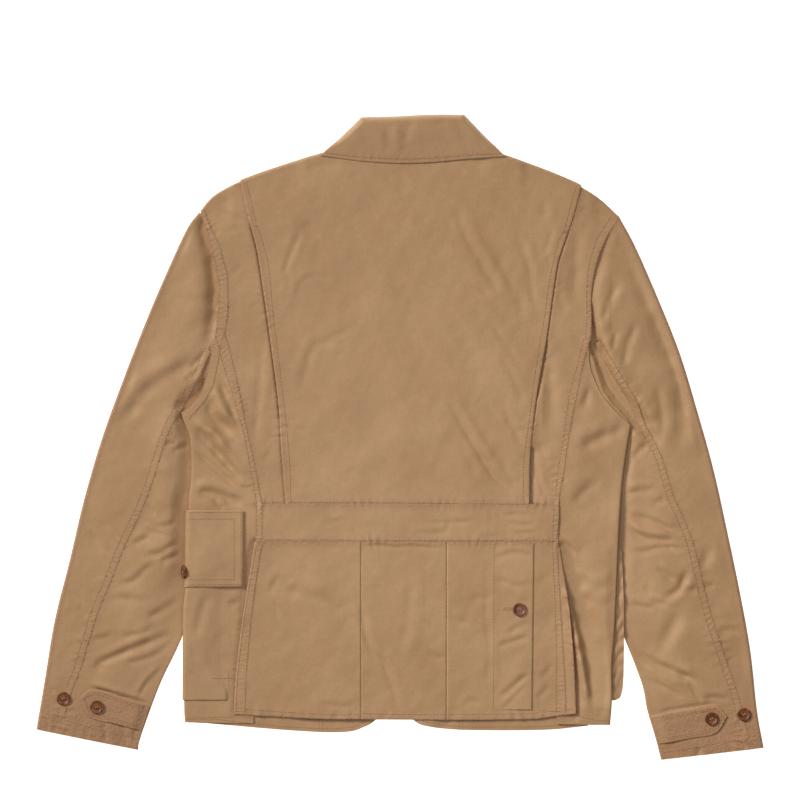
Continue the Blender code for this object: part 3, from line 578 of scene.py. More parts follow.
@dataclass(frozen=True)
class Poplin(Finish):
    """Washed cotton poplin: tight, plain and a little polished, dyed as a whole garment.

    The dye is a little uneven over a hand's width and finely mottled, and it is rubbed paler on the
    folded edges.
    Beside the stitched seams the colour is darker and redder: a redder dye there, with painted shade
    of the puckers.
    On the sleeves the same darker colour is painted shade along the outer folds and towards the
    cuffs.
    """

    name: str = "washed_cotton_poplin"
    roughness: float = 0.56
    ground: str = "#B38C63"
    deep: str = "#AB835B"
    # darker, redder seam colour: a redder dye with painted shade of the puckers, and painted shade on
    # the sleeves' folds and cuffs
    seam: str = "#A37856"
    rubbed: str = "#BC966D"
    thread_pitch: float = 1.5   # real threads are 0.35 mm apart, too fine to show

    def make(self) -> bpy.types.Material:
        """Build the material."""
        made, tree, place = self.start()
        cloud = add_node(tree, "ShaderNodeMapRange", inputs={
            "Value": self.grain(tree, place, 70, 3.0), "From Min": 0.32,
            "From Max": 0.68}).outputs[0]
        colour = self.blend(tree, cloud, linear(self.ground), linear(self.deep))
        for word, code, share in (("seam", self.seam, 0.75), ("rub", self.rubbed, 0.4)):
            near = add_node(tree, "ShaderNodeAttribute", {"attribute_name": word}).outputs["Fac"]
            weight = add_node(tree, "ShaderNodeMath", {"operation": "MULTIPLY"}, {
                0: near, 1: share}).outputs[0]
            colour = self.blend(tree, weight, colour, linear(code))
        mottle = add_node(tree, "ShaderNodeMapRange", inputs={
            "Value": self.grain(tree, place, 4.5, 2.0, 0.7), "To Min": 0.90,
            "To Max": 1.10}).outputs[0]
        colour = add_node(tree, "ShaderNodeVectorMath", {"operation": "SCALE"}, {
            0: colour, "Scale": mottle}).outputs[0]
        weave = [add_node(tree, "ShaderNodeTexWave", {"bands_direction": way}, {
            "Vector": place, "Scale": 1000 / self.thread_pitch / 3.18, "Distortion": 0.6,
            "Detail": 1.0, "Detail Scale": 1.5}).outputs["Fac"] for way in ("X", "Y")]
        threads = add_node(tree, "ShaderNodeMath", {"operation": "ADD"},
                           {0: weave[0], 1: weave[1]}).outputs[0]
        near = add_node(tree, "ShaderNodeAttribute", {"attribute_name": "seam"}).outputs["Fac"]
        drawn = add_node(tree, "ShaderNodeMath", {"operation": "MULTIPLY"}, {
            0: self.grain(tree, place, 3.6, 1.5, 0.5), 1: near}).outputs[0]
        self.finish(tree, colour, ((self.grain(tree, place, 14, 3.0, 0.5), 0.5, 1.2),
                                   (drawn, 0.7, 1.2), (threads, 0.3, 0.08)))
        shader = tree.nodes["Principled BSDF"]
        shader.inputs["Specular IOR Level"].default_value = 0.42
        shader.inputs["Sheen Weight"].default_value = 0.08
        shader.inputs["Sheen Roughness"].default_value = 0.4
        return made


@dataclass(frozen=True)
class CottonThread(Finish):
    """Spun cotton sewing thread, a shade redder than the cloth, twisted and matt."""

    name: str = "spun_cotton_thread"
    roughness: float = 0.85
    colour: str = "#B68D65"
    dark: str = "#A57C56"
    twist: float = 0.9      # drawn coarser than the real 0.4 mm twist, so that it shows

    def make(self) -> bpy.types.Material:
        """Build the material."""
        made, tree, place = self.start()
        twist = add_node(tree, "ShaderNodeTexWave", {"bands_direction": "DIAGONAL"}, {
            "Vector": place, "Scale": 1000 / self.twist / 3.18, "Distortion": 0.5}).outputs["Fac"]
        self.finish(tree, self.blend(tree, twist, linear(self.dark), linear(self.colour)))
        return made


@dataclass(frozen=True)
class PaintedNeedleHoleShade(Finish):
    """Needle holes drawn open by the thread: small, and coloured dark with painted shade, so that a
    row looks dotted.
    """

    name: str = "shaded_needle_hole"
    roughness: float = 0.9
    # painted shade of the needle holes
    colour: str = "#6E4A30"

    def make(self) -> bpy.types.Material:
        """Build the material."""
        made, tree, place = self.start()
        self.finish(tree, self.blend(tree, self.grain(tree, place, 3.0), linear(self.colour, 0.8),
                                     linear(self.colour, 1.25)))
        return made


@dataclass(frozen=True)
class TurnedHorn(Finish):
    """Brown horn, turned and polished: clouded streaks under a satin gloss."""

    name: str = "turned_brown_horn"
    roughness: float = 0.36
    dark: str = "#4A2413"
    warm: str = "#8F5431"

    def make(self) -> bpy.types.Material:
        """Build the material."""
        made, tree, place = self.start()
        streak = self.grain(tree, place, 6.0, 4.0)
        share = add_node(tree, "ShaderNodeMapRange", inputs={
            "Value": streak, "From Min": 0.35, "From Max": 0.66}).outputs[0]
        self.finish(tree, self.blend(tree, share, linear(self.dark), linear(self.warm)),
                    ((streak, 0.2, 0.2),))
        shader = tree.nodes["Principled BSDF"]
        shader.inputs["IOR"].default_value = 1.54
        shader.inputs["Specular IOR Level"].default_value = 0.35
        return made


@dataclass(frozen=True)
class PaleFloor(Finish):
    """Smooth white backdrop paper, lit from behind so that no shadow falls on it."""

    name: str = "white_backdrop_paper"
    roughness: float = 0.9

    def make(self) -> bpy.types.Material:
        """Build the material."""
        made, tree, place = self.start()
        colour = self.blend(tree, self.grain(tree, place, 16.0), (0.93, 0.93, 0.93, 1.0),
                            (0.95, 0.95, 0.95, 1.0))
        self.finish(tree, colour)
        shader = tree.nodes["Principled BSDF"]
        shader.inputs["Emission Color"].default_value = (1, 1, 1, 1)
        shader.inputs["Emission Strength"].default_value = 0.95
        return made


# ---------------------------------------------------------------- the work bench

@dataclass(frozen=True)
class Cut:
    """Flat size of the part of a cut piece that is here, and what it rests on."""

    width: float
    length: float
    share: float
    rests_on: tuple[str, ...]


CUTS = {
    "back_centre": Cut(0.42, 0.45, 0.81, ("back_side_left", "back_side_right")),
    "back_side_left": Cut(0.127, 0.405, 0.58, ("front_left",)),
    "back_side_right": Cut(0.131, 0.4, 0.53, ("front_right",)),
    "waistband": Cut(0.363, 0.046, 1.0, ("front_left", "front_right")),
    "skirt_left": Cut(0.154, 0.215, 0.90, ("skirt_pleat",)),
    "skirt_pleat": Cut(0.14, 0.215, 1.0, ("front_left", "front_right")),
    "skirt_right": Cut(0.157, 0.215, 0.94, ("skirt_pleat",)),
    "rear_pocket_placket": Cut(0.048, 0.2, 1.0, ("skirt_right",)),
    "side_left": Cut(0.13, 0.47, 0.73, ("front_left", "pocket_bag_left")),
    "side_right": Cut(0.13, 0.465, 0.68, ("front_right",)),
    "front_left": Cut(0.255, 0.68, 0.88, ("front_right",)),
    "front_right": Cut(0.28, 0.675, 0.85, ("pocket_bag_right",)),
    "sleeve_outer_left": Cut(0.16, 0.66, 0.64, ("front_left",)),
    "sleeve_inner_left": Cut(0.18, 0.58, 0.74, ("side_left",)),
    "sleeve_outer_right": Cut(0.16, 0.67, 0.62, ("front_right",)),
    "sleeve_inner_right": Cut(0.19, 0.59, 0.73, ("side_right",)),
    "cuff_tab_left": Cut(0.083, 0.034, 0.92, ("sleeve_outer_left",)),
    "cuff_tab_right": Cut(0.088, 0.036, 0.88, ("sleeve_outer_right",)),
    "pocket_bag_left": Cut(0.166, 0.222, 1.0, ("side_left",)),
    "pocket_flap_left": Cut(0.18, 0.092, 1.0, ("pocket_bag_left",)),
    "pocket_bag_right": Cut(0.172, 0.222, 1.0, ("front_right",)),
    "pocket_flap_right": Cut(0.132, 0.092, 1.0, ("pocket_bag_right",)),
    "collar_fall": Cut(0.222, 0.062, 0.86, ("back_centre",)),
    "collar_stand": Cut(0.193, 0.039, 0.56, ("collar_fall",)),
    "collar_front_left": Cut(0.09, 0.139, 0.47, ("front_left",)),
    "collar_front_right": Cut(0.09, 0.139, 0.47, ("front_right",)),
}


@dataclass
class Shed:
    """The outer faces of finished pieces, for laying the next piece on them."""

    trees: list[tuple[BVHTree, np.ndarray, np.ndarray, Facing]] = field(default_factory=list)

    def keep(self, points: np.ndarray, faces: np.ndarray, facing: Facing) -> None:
        """Keep the outer face of a piece, in millimetres."""
        tree = BVHTree.FromPolygons([tuple(p) for p in points], [tuple(f) for f in faces])
        self.trees.append((tree, points.min(axis=0) - 1, points.max(axis=0) + 1, facing))

    def rest(self, x: float, y: float, facing: Facing = Facing.UP) -> tuple[float, Vector]:
        """Find where something laid at a place comes to rest.

        Args:
            x: X of the place.
            y: Y of the place.
            facing: from above or from below.

        Returns:
            Height of the outermost cloth there and its normal.
        """
        best, normal = None, Vector((0, 0, facing.value))
        start = Vector((x, y, 60.0 * facing.value))
        for tree, low, high, way in self.trees:
            if way is facing and low[0] <= x <= high[0] and low[1] <= y <= high[1]:
                hit, face_normal, _, _ = tree.ray_cast(start, Vector((0, 0, -facing.value)))
                if hit and (best is None or (hit.z - best) * facing.value > 0):
                    best, normal = hit.z, face_normal
        if normal.z * facing.value < 0:
            normal = -normal
        return (0.0 if best is None else best), normal

    def lay(self, points: np.ndarray, spare: float = 0.0, facing: Facing = Facing.UP) -> np.ndarray:
        """Heights on which a line of points comes to rest.

        Args:
            points: the line in plan.
            spare: distance to both sides that it also has to clear.
            facing: from above or from below.

        Returns:
            One height for each point.
        """
        pick = max if facing is Facing.UP else min
        heights = []
        for (x, y), (nx, ny) in zip(points, square(points)):
            found = [self.rest(x + nx * k, y + ny * k, facing)[0]
                     for k in ((0.0,) if spare == 0.0 else (-spare, 0.0, spare))]
            heights.append(pick(found))
        return np.array(heights)


class Bench:
    """Makes the pieces of the jacket and gives them their finish and body."""

    def __init__(self) -> None:
        """Mix the finishes, and model one stitch and one button to copy."""
        self.cotton = Poplin().make()
        self.thread = CottonThread().make()
        self.needle = PaintedNeedleHoleShade().make()
        self.horn = TurnedHorn().make()
        self.shed = Shed()
        self.made: dict[str, bpy.types.Object] = {}
        self.stitch = OneStitch().build()
        self.button = OneButton().build()

    def enter(self, name: str, mesh: bpy.types.Mesh, finishes: Sequence[bpy.types.Material],
              slot: str) -> bpy.types.Object:
        """Put a mesh into the scene as a piece.

        Args:
            name: the piece's name.
            mesh: its mesh, in metres.
            finishes: its materials.
            slot: the record's material slot; not used.

        Returns:
            The object.
        """
        mesh.name = name
        mesh.materials.clear()
        for finish in finishes:
            mesh.materials.append(finish)
        piece = bpy.data.objects.new(name, mesh)
        bpy.context.scene.collection.objects.link(piece)
        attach(piece, "root")
        self.made[name] = piece
        return piece

    def cloth(self, node: str, net: np.ndarray, facing: Facing, seam: np.ndarray | None = None,
              rub: np.ndarray | None = None, wall: float = 1.1,
              inner: bool = False) -> bpy.types.Object:
        """Make the cut piece that stands for a node: a thin shell under a net.

        Args:
            node: the node that it replaces.
            net: its outer face, rows by columns of (x, y, z) in millimetres.
            facing: where the outer face looks.
            seam: share of the darker seam colour at each net point, from 0 to 1, which is partly
                painted shade.
            rub: how rubbed it is.
            wall: thickness of the cloth.
            inner: whether things are laid on its inner face too.

        Returns:
            The object.
        """
        rows, columns = net.shape[:2]
        corner = (np.arange(rows - 1)[:, None] * columns + np.arange(columns - 1)[None]).ravel()
        faces = np.column_stack([corner, corner + columns, corner + columns + 1, corner + 1])
        points = net.reshape(-1, 3)
        a, b, c = points[faces[:, 0]], points[faces[:, 1]], points[faces[:, 3]]
        level = points[faces].mean(axis=1)[:, 2]
        turn = np.cross(b - a, c - a)[:, 2]
        if turn[level >= points[:, 2].mean()].sum() * facing.value < 0:
            faces = faces[:, ::-1]
        self.shed.keep(points, faces, facing)
        if inner:
            self.shed.keep(points + np.array([0, 0, wall]), faces, Facing.UP)
        mesh = bpy.data.meshes.new(node)
        mesh.from_pydata((points * MM).tolist(), [], faces.tolist())
        for word, values in (("seam", seam), ("rub", rub)):
            kept = mesh.attributes.new(word, "FLOAT", "POINT")
            kept.data.foreach_set("value", np.zeros(len(points)) if values is None
                                  else np.clip(values, 0.0, 1.0).ravel())
        piece = self.enter(f"cloth_{node}", mesh, [self.cotton], "cotton_cloth")
        shell = piece.modifiers.new("wall", "SOLIDIFY")
        shell.thickness = wall * MM
        shell.offset = -1.0
        self.settle(piece)
        bpy.ops.object.modifier_apply(modifier=shell.name)
        bpy.ops.object.shade_smooth_by_angle(angle=1.0)
        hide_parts(node)
        return piece

    def settle(self, piece: bpy.types.Object) -> None:
        """Make a piece the only selected one, and the active one."""
        bpy.ops.object.select_all(action="DESELECT")
        piece.select_set(True)
        bpy.context.view_layer.objects.active = piece

    def tape(self, name: str, near: np.ndarray, far: np.ndarray, crown: float = 0.08,
             foot: float = 0.14, pucker: float = 0.26, pitch: float = 4.2, seed: int = 1,
             facing: Facing = Facing.UP, across: int = 9, lip: bool = False) -> bpy.types.Object:
        """Lay a felled seam: a narrow fold of cloth, puffed between its two rows of stitches.

        Args:
            name: the piece's name.
            near: plan of one edge.
            far: plan of the other edge, with as many points.
            crown: height of its middle above its edges.
            foot: height of its edges above the cloth that it lies on.
            pucker: height of the puckers across it.
            pitch: distance between the puckers.
            seed: which puckers.
            facing: on the upper side or the underside.
            across: number of points across it.
            lip: whether it stays level where the cloth beside it falls away.

        Returns:
            The object.
        """
        share = np.linspace(0.0, 1.0, across)
        plan = near[:, None] + (far - near)[:, None] * share[None, :, None]
        heights = np.stack([self.shed.lay(plan[:, k], 1.3, facing) for k in range(across)], axis=1)
        ends = np.array([heights[:, 0], heights[:, -1]])
        base = np.maximum(heights, ends.min(axis=0)[:, None]) if facing is Facing.UP else heights
        if lip:
            base = np.maximum(base, heights.max(axis=1)[:, None] - 0.35)
        ends = np.pad(base, ((5, 5), (0, 0)), mode="edge")
        calm = np.mean([ends[k:k + len(base)] for k in range(11)], axis=0)
        base = np.maximum(calm, base - 0.25)
        along = np.r_[0.0, np.cumsum(np.linalg.norm(np.diff(plan[:, across // 2], axis=0), axis=1))]
        slant = (share - 0.5)[None, :] * 4.0 * ripple(along, 40.0, seed + 5)[:, None]
        strong = np.clip(0.95 + 0.45 * ripple(along, 70.0, seed + 9), 0.4, 1.5)[:, None]
        wave = np.clip(ripple(along[:, None] + slant, pitch, seed), -1.2, 1.2) * strong
        dome = np.sin(np.pi * share) ** 0.5
        raised = foot + (crown + pucker * wave) * dome[None]
        top = np.concatenate([plan, (base + facing.value * raised)[..., None]], axis=2)
        under = np.concatenate([plan[:, [-1, 0]],
                                (heights[:, [-1, 0]] - facing.value * 0.35)[..., None]], axis=2)
        ring = np.concatenate([top, under], axis=1)
        rows, count = ring.shape[:2]
        faces = []
        for i in range(rows - 1):
            for j in range(count):
                k = (j + 1) % count
                faces.append((i * count + j, i * count + k, (i + 1) * count + k, (i + 1) * count + j))
        faces.append(tuple(range(count))[::-1])
        faces.append(tuple((rows - 1) * count + j for j in range(count)))
        points = ring.reshape(-1, 3)
        mesh = bpy.data.meshes.new(name)
        mesh.from_pydata((points * MM).tolist(), [], faces)
        # the tape takes part of the darker seam colour, which is partly painted shade of its puckers
        for word, value in (("seam", 0.45), ("rub", 0.0)):
            kept = mesh.attributes.new(word, "FLOAT", "POINT")
            level = np.full(len(points), value)
            if word == "rub":
                level = np.clip(np.tile(np.r_[dome, 0, 0], rows) * 0.5, 0, 1)
            kept.data.foreach_set("value", level)
        piece = self.enter(name, mesh, [self.cotton], "cotton_cloth")
        self.outwards(piece)
        grid = np.arange(rows * count).reshape(rows, count)[:, :across]
        corner = grid[:-1, :-1].ravel()
        self.shed.keep(points, np.column_stack([corner, corner + count, corner + count + 1,
                                                corner + 1]), facing)
        return piece

    def outwards(self, piece: bpy.types.Object) -> None:
        """Turn all faces of a closed piece outwards and smooth it."""
        self.settle(piece)
        bpy.ops.object.mode_set(mode="EDIT")
        bpy.ops.mesh.select_all(action="SELECT")
        bpy.ops.mesh.normals_make_consistent(inside=False)
        bpy.ops.object.mode_set(mode="OBJECT")
        bpy.ops.object.shade_smooth_by_angle(angle=1.0)

    def sew(self, name: str, rows: Sequence[Run], pitch: float = 3.9, seed: int = 5,
            facing: Facing = Facing.UP, holes: bool = True) -> list[bpy.types.Object]:
        """Sew rows of stitches, with a needle hole at both ends of each, coloured dark with painted
        shade.

        Args:
            name: first part of the two pieces' names.
            rows: runs of the rows in plan.
            pitch: length of a stitch and the gap after it.
            seed: unevenness of the stitches.
            facing: on the upper side or the underside.
            holes: whether the needle holes show.

        Returns:
            The stitches and the needle holes.
        """
        chance = np.random.default_rng(seed)
        spots, faces = self.stitch
        points, polygons, lines, strips = [], [], [], []
        up = facing.value
        for run in rows:
            places = run.even(pitch)
            heights = self.shed.lay(places, 0.0, facing)
            aside = square(places)
            ahead = np.column_stack([aside[:, 1], -aside[:, 0]])
            slope = np.gradient(heights) / pitch
            way = np.sign(((places[1] - places[0]) * ahead[0]).sum())
            for place, z, n, t, rise in zip(places, heights, aside, ahead, slope * way):
                base = len(lines)
                for u, v in ((-0.7, 0.0), (0.0, 0.5), (0.7, 0.0), (0.0, -0.5)):
                    x, y = place + t * u + n * v
                    lines.append((x, y, z + u * rise + up * 0.1))
                lines.append((*place, z - up * 0.4))
                strips.append(tuple(base + k for k in range(4)))
                strips += [(base + (k + 1) % 4, base + k, base + 4) for k in range(4)]
            for (ax, ay), (bx, by), za, zb in zip(places, places[1:], heights, heights[1:]):
                if abs(zb - za) > 0.9:
                    continue
                run_x, run_y, run_z = bx - ax, by - ay, zb - za
                size = np.sqrt(run_x ** 2 + run_y ** 2 + run_z ** 2)
                way = np.array([run_x, run_y, run_z]) / size
                aside = np.array([-way[1], way[0], 0.0])
                aside /= np.linalg.norm(aside)
                above = np.cross(way, aside) * up
                centre = np.array([(ax + bx) / 2, (ay + by) / 2, (za + zb) / 2 + up * 0.16])
                centre += aside * chance.normal(0, 0.06)
                long = size / 2.7 * chance.uniform(0.8, 0.92)
                base = len(points)
                for px, py, pz in spots:
                    points.append(centre + way * px * long + aside * py + above * pz)
                polygons += [tuple(base + k for k in face) for face in faces]
        made = []
        for word, spots_all, all_faces, finish in (("stitches", points, polygons, self.thread),
                                                   ("needle_holes", lines, strips, self.needle)):
            if word == "needle_holes" and not holes:
                continue
            mesh = bpy.data.meshes.new(name)
            mesh.from_pydata((np.array(spots_all) * MM).tolist(), [], all_faces)
            piece = self.enter(f"{name}_{word}", mesh, [finish], "cotton_cloth")
            self.outwards(piece)
            made.append(piece)
        return made

    def set_button(self, node: str, centre: tuple[float, float, float],
                   axis: tuple[float, float, float] = (0.0, 0.0, 1.0), turn: float = 0.0) -> None:
        """Set a copy of the button and of its thread where a node is.

        Args:
            node: the button node that it replaces.
            centre: middle of its back, in millimetres.
            axis: where its face looks.
            turn: turn about its axis, in radians.
        """
        way = Vector((0, 0, 1)).rotation_difference(Vector(axis)).to_matrix().to_4x4()
        shift = (Matrix.Translation(Vector(centre) * MM) @ way @ Matrix.Rotation(turn, 4, "Z"))
        for kind, (model, finish, slot) in enumerate((
                (self.button[0], self.horn, "horn_button"),
                (self.button[1], self.thread, "cotton_cloth"))):
            mesh = model.copy()
            mesh.transform(shift)
            name = f"horn_{node}" if kind == 0 else f"thread_{node}"
            piece = self.enter(name, mesh, [finish], slot)
            if kind == 0:
                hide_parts(node)


class OneStitch:
    """A single stitch: a short round of thread that dips at both ends."""

    length: float = 1.9
    radius: float = 0.36
    sides: int = 4

    def build(self) -> tuple[np.ndarray, list[tuple[int, ...]]]:
        """Model the stitch along X.

        Returns:
            Its points in millimetres and its faces.
        """
        bpy.ops.object.select_all(action="DESELECT")
        bpy.ops.mesh.primitive_cylinder_add(vertices=self.sides, radius=self.radius * MM,
                                            depth=self.length * 0.62 * MM, location=(0, 0, 0))
        model = bpy.context.active_object
        bpy.ops.object.mode_set(mode="EDIT")
        for end in (-1, 1):
            bpy.ops.mesh.select_all(action="DESELECT")
            bpy.ops.object.mode_set(mode="OBJECT")
            for face in model.data.polygons:
                face.select = face.normal.z * end > 0.9
            bpy.ops.object.mode_set(mode="EDIT")
            bpy.ops.mesh.extrude_region_move(
                TRANSFORM_OT_translate={"value": (0, 0, end * self.length * 0.19 * MM)})
            bpy.ops.transform.resize(value=(0.35, 0.35, 1.0))
        bpy.ops.object.mode_set(mode="OBJECT")
        points = np.array([tuple(v.co) for v in model.data.vertices]) / MM
        faces = [tuple(face.vertices) for face in model.data.polygons]
        dip = 0.22 * (points[:, 2] / (self.length / 2)) ** 2
        points = np.column_stack([points[:, 2], points[:, 0], points[:, 1] - dip])
        bpy.data.objects.remove(model, do_unlink=True)
        return points, faces


class OneButton:
    """A turned four-hole button with a rounded rim and a dished middle, and its thread."""

    radius: float = 8.0
    thickness: float = 2.6
    rim: float = 1.7
    dish: float = 0.75
    hole: float = 0.85
    hole_out: float = 1.55

    def build(self) -> tuple[bpy.types.Mesh, bpy.types.Mesh]:
        """Model the button and its thread about Z, with the back at 0.

        Returns:
            Meshes of the button and of the thread, in metres.
        """
        bpy.ops.object.select_all(action="DESELECT")
        bpy.ops.mesh.primitive_cylinder_add(
            vertices=40, radius=self.radius * MM, depth=self.thickness * MM,
            location=(0, 0, self.thickness / 2 * MM))
        bpy.ops.object.transform_apply(location=True, rotation=True, scale=True)
        model = bpy.context.active_object
        self.pick(model, 1)
        bpy.ops.mesh.inset(thickness=self.rim * MM, depth=0.0)
        bpy.ops.mesh.inset(thickness=1.1 * MM, depth=-self.dish * MM)
        bpy.ops.mesh.inset(thickness=2.0 * MM, depth=-0.1 * MM)
        bpy.ops.mesh.inset(thickness=1.2 * MM, depth=0.12 * MM)
        self.pick(model, -1)
        bpy.ops.mesh.inset(thickness=1.2 * MM, depth=0.3 * MM)
        bpy.ops.object.mode_set(mode="OBJECT")
        rounding = model.modifiers.new("turned", "BEVEL")
        rounding.width, rounding.segments, rounding.angle_limit = 0.55 * MM, 3, 0.5
        bpy.ops.object.modifier_apply(modifier=rounding.name)
        holes = []
        for k in range(4):
            turn = np.pi / 4 + k * np.pi / 2
            bpy.ops.mesh.primitive_cylinder_add(
                vertices=12, radius=self.hole * MM, depth=4 * self.thickness * MM,
                location=(self.hole_out * np.cos(turn) * MM, self.hole_out * np.sin(turn) * MM, 0))
            holes.append(bpy.context.active_object)
        for drill in holes:
            bpy.context.view_layer.objects.active = model
            cut = model.modifiers.new("hole", "BOOLEAN")
            cut.operation, cut.object, cut.solver = "DIFFERENCE", drill, "EXACT"
            bpy.ops.object.modifier_apply(modifier=cut.name)
            bpy.data.objects.remove(drill, do_unlink=True)
        bpy.ops.object.select_all(action="DESELECT")
        model.select_set(True)
        bpy.ops.object.shade_smooth_by_angle(angle=0.6)
        body = model.data.copy()
        bpy.data.objects.remove(model, do_unlink=True)
        return body, self.wind()

    def pick(self, model: bpy.types.Object, end: int) -> None:
        """Select the flat end of the blank that faces up (1) or down (-1), in edit mode."""
        if model.mode == "EDIT":
            bpy.ops.object.mode_set(mode="OBJECT")
        for item in (*model.data.vertices, *model.data.edges, *model.data.polygons):
            item.select = False
        for face in model.data.polygons:
            face.select = face.normal.z * end > 0.9 and abs(face.center.x) < 1e-5
        bpy.ops.object.mode_set(mode="EDIT")
        bpy.ops.mesh.select_mode(type="FACE")

    def wind(self) -> bpy.types.Mesh:
        """Wind thread through the holes: two bars of three turns each.

        Returns:
            The thread's mesh, in metres.
        """
        strands = []
        reach = self.hole_out / np.sqrt(2.0)
        bpy.ops.object.select_all(action="DESELECT")
        for side in (-1, 1):
            for turn in (-0.32, 0.0, 0.32):
                bpy.ops.mesh.primitive_torus_add(
                    major_segments=14, minor_segments=5, major_radius=reach * 1.0 * MM,
                    minor_radius=0.24 * MM,
                    location=(side * reach * MM + turn * MM, 0, (self.thickness - 0.95) * MM),
                    rotation=(np.pi / 2, 0, np.pi / 2))
                strands.append(bpy.context.active_object)
        bpy.ops.object.select_all(action="DESELECT")
        for strand in strands:
            strand.select_set(True)
        bpy.context.view_layer.objects.active = strands[0]
        bpy.ops.object.join()
        wound = bpy.context.active_object
        bpy.ops.object.transform_apply(location=True, rotation=True, scale=True)
        bpy.ops.transform.resize(value=(1.0, 1.0, 0.62), center_override=(
            0, 0, (self.thickness - 0.75) * MM))
        bpy.ops.object.transform_apply(location=True, rotation=True, scale=True)
        bpy.ops.object.shade_smooth_by_angle(angle=1.2)
        mesh = wound.data.copy()
        bpy.data.objects.remove(wound, do_unlink=True)
        return mesh


def between(centre: Path | str, width: float, step: float = 1.4) -> tuple[np.ndarray, np.ndarray]:
    """Both edges of a tape laid along a centre line on the mat.

    Args:
        centre: the centre line on the mat.
        width: the tape's width in millimetres.
        step: distance between the points along it.

    Returns:
        The plans of its edges.
    """
    middle = Run.on_mat(centre).even(step)
    aside = square(middle) * width / 2
    return middle - aside, middle + aside


def both(near: Path | str, far: Path | str, step: float = 1.4) -> tuple[np.ndarray, np.ndarray]:
    """Both edges of a tape that are given on the mat, sampled in step with each other.

    Args:
        near: one edge.
        far: the other edge.
        step: distance between the points along it.

    Returns:
        The plans of its edges.
    """
    first, second = Run.on_mat(near), Run.on_mat(far)
    share = np.linspace(0.0, 1.0, max(2, round(max(first.length, second.length) / step)) + 1)
    return first.at(share), second.at(share)


def inset(near: np.ndarray, far: np.ndarray, distance: float) -> tuple[Run, Run]:
    """The two rows of stitches that hold a tape, a distance inside its edges."""
    way = (far - near) / np.linalg.norm(far - near, axis=1)[:, None]
    return Run(near + way * distance, False), Run(far - way * distance, False)


def softened_edge(away: np.ndarray, depth: float = 0.8, reach: float = 1.7) -> np.ndarray:
    """How far a folded edge rolls down, at distances inside it."""
    share = np.clip(away / reach, 0.0, 1.0)
    return -depth * (1.0 - np.sqrt(1.0 - (1.0 - share) ** 2))


# ---------------------------------------------------------------- creases and gathers of the body

SEAMS = (
    # line, reach, height, pitch, seed
    ("PLEAT_LEFT", 9.0, 0.42, 7.0, 21), ("PLEAT_RIGHT", 9.0, 0.42, 7.0, 22),
    ("BACK_SEAM_LEFT", 10.0, 0.6, 6.5, 23), ("BACK_SEAM_RIGHT", 10.0, 0.6, 6.5, 24),
    ("ARMHOLE_LEFT", 11.0, 0.8, 7.0, 25), ("ARMHOLE_RIGHT", 10.0, 0.7, 7.0, 26),
    ("VENT_LEFT", 8.0, 0.45, 7.0, 27), ("VENT_RIGHT", 8.0, 0.45, 7.0, 28),
    ("HEM", 10.0, 0.6, 16.0, 29),
)

# places where an upper cloth stands off the lower one, which sinks away beside its edge
GAPES = (
    # line, side of it, depth, half width, from y, to y
    ("PLEAT_LEFT", -1, 1.9, 1.7, 24, 250), ("PLEAT_LEFT", -1, 1.0, 1.6, -78, 10),
    ("PLEAT_RIGHT", 1, 1.3, 1.7, 20, 242), ("PLEAT_RIGHT", 1, 2.0, 4.5, 55, 110),
    ("PLEAT_RIGHT", 1, 4.0, 8.0, -78, -18),
    # and where it lies nearly level with it
    ("PLEAT_LEFT", -1, -0.5, 14.0, -60, 290), ("PLEAT_RIGHT", 1, -0.55, 14.0, 0, 290),
    ("VENT_LEFT", -1, 3.6, 5.0, -205, -126), ("VENT_LEFT", -1, 1.4, 3.0, -345, -215),
    ("VENT_RIGHT", 1, 3.2, 4.5, -345, -150),
)

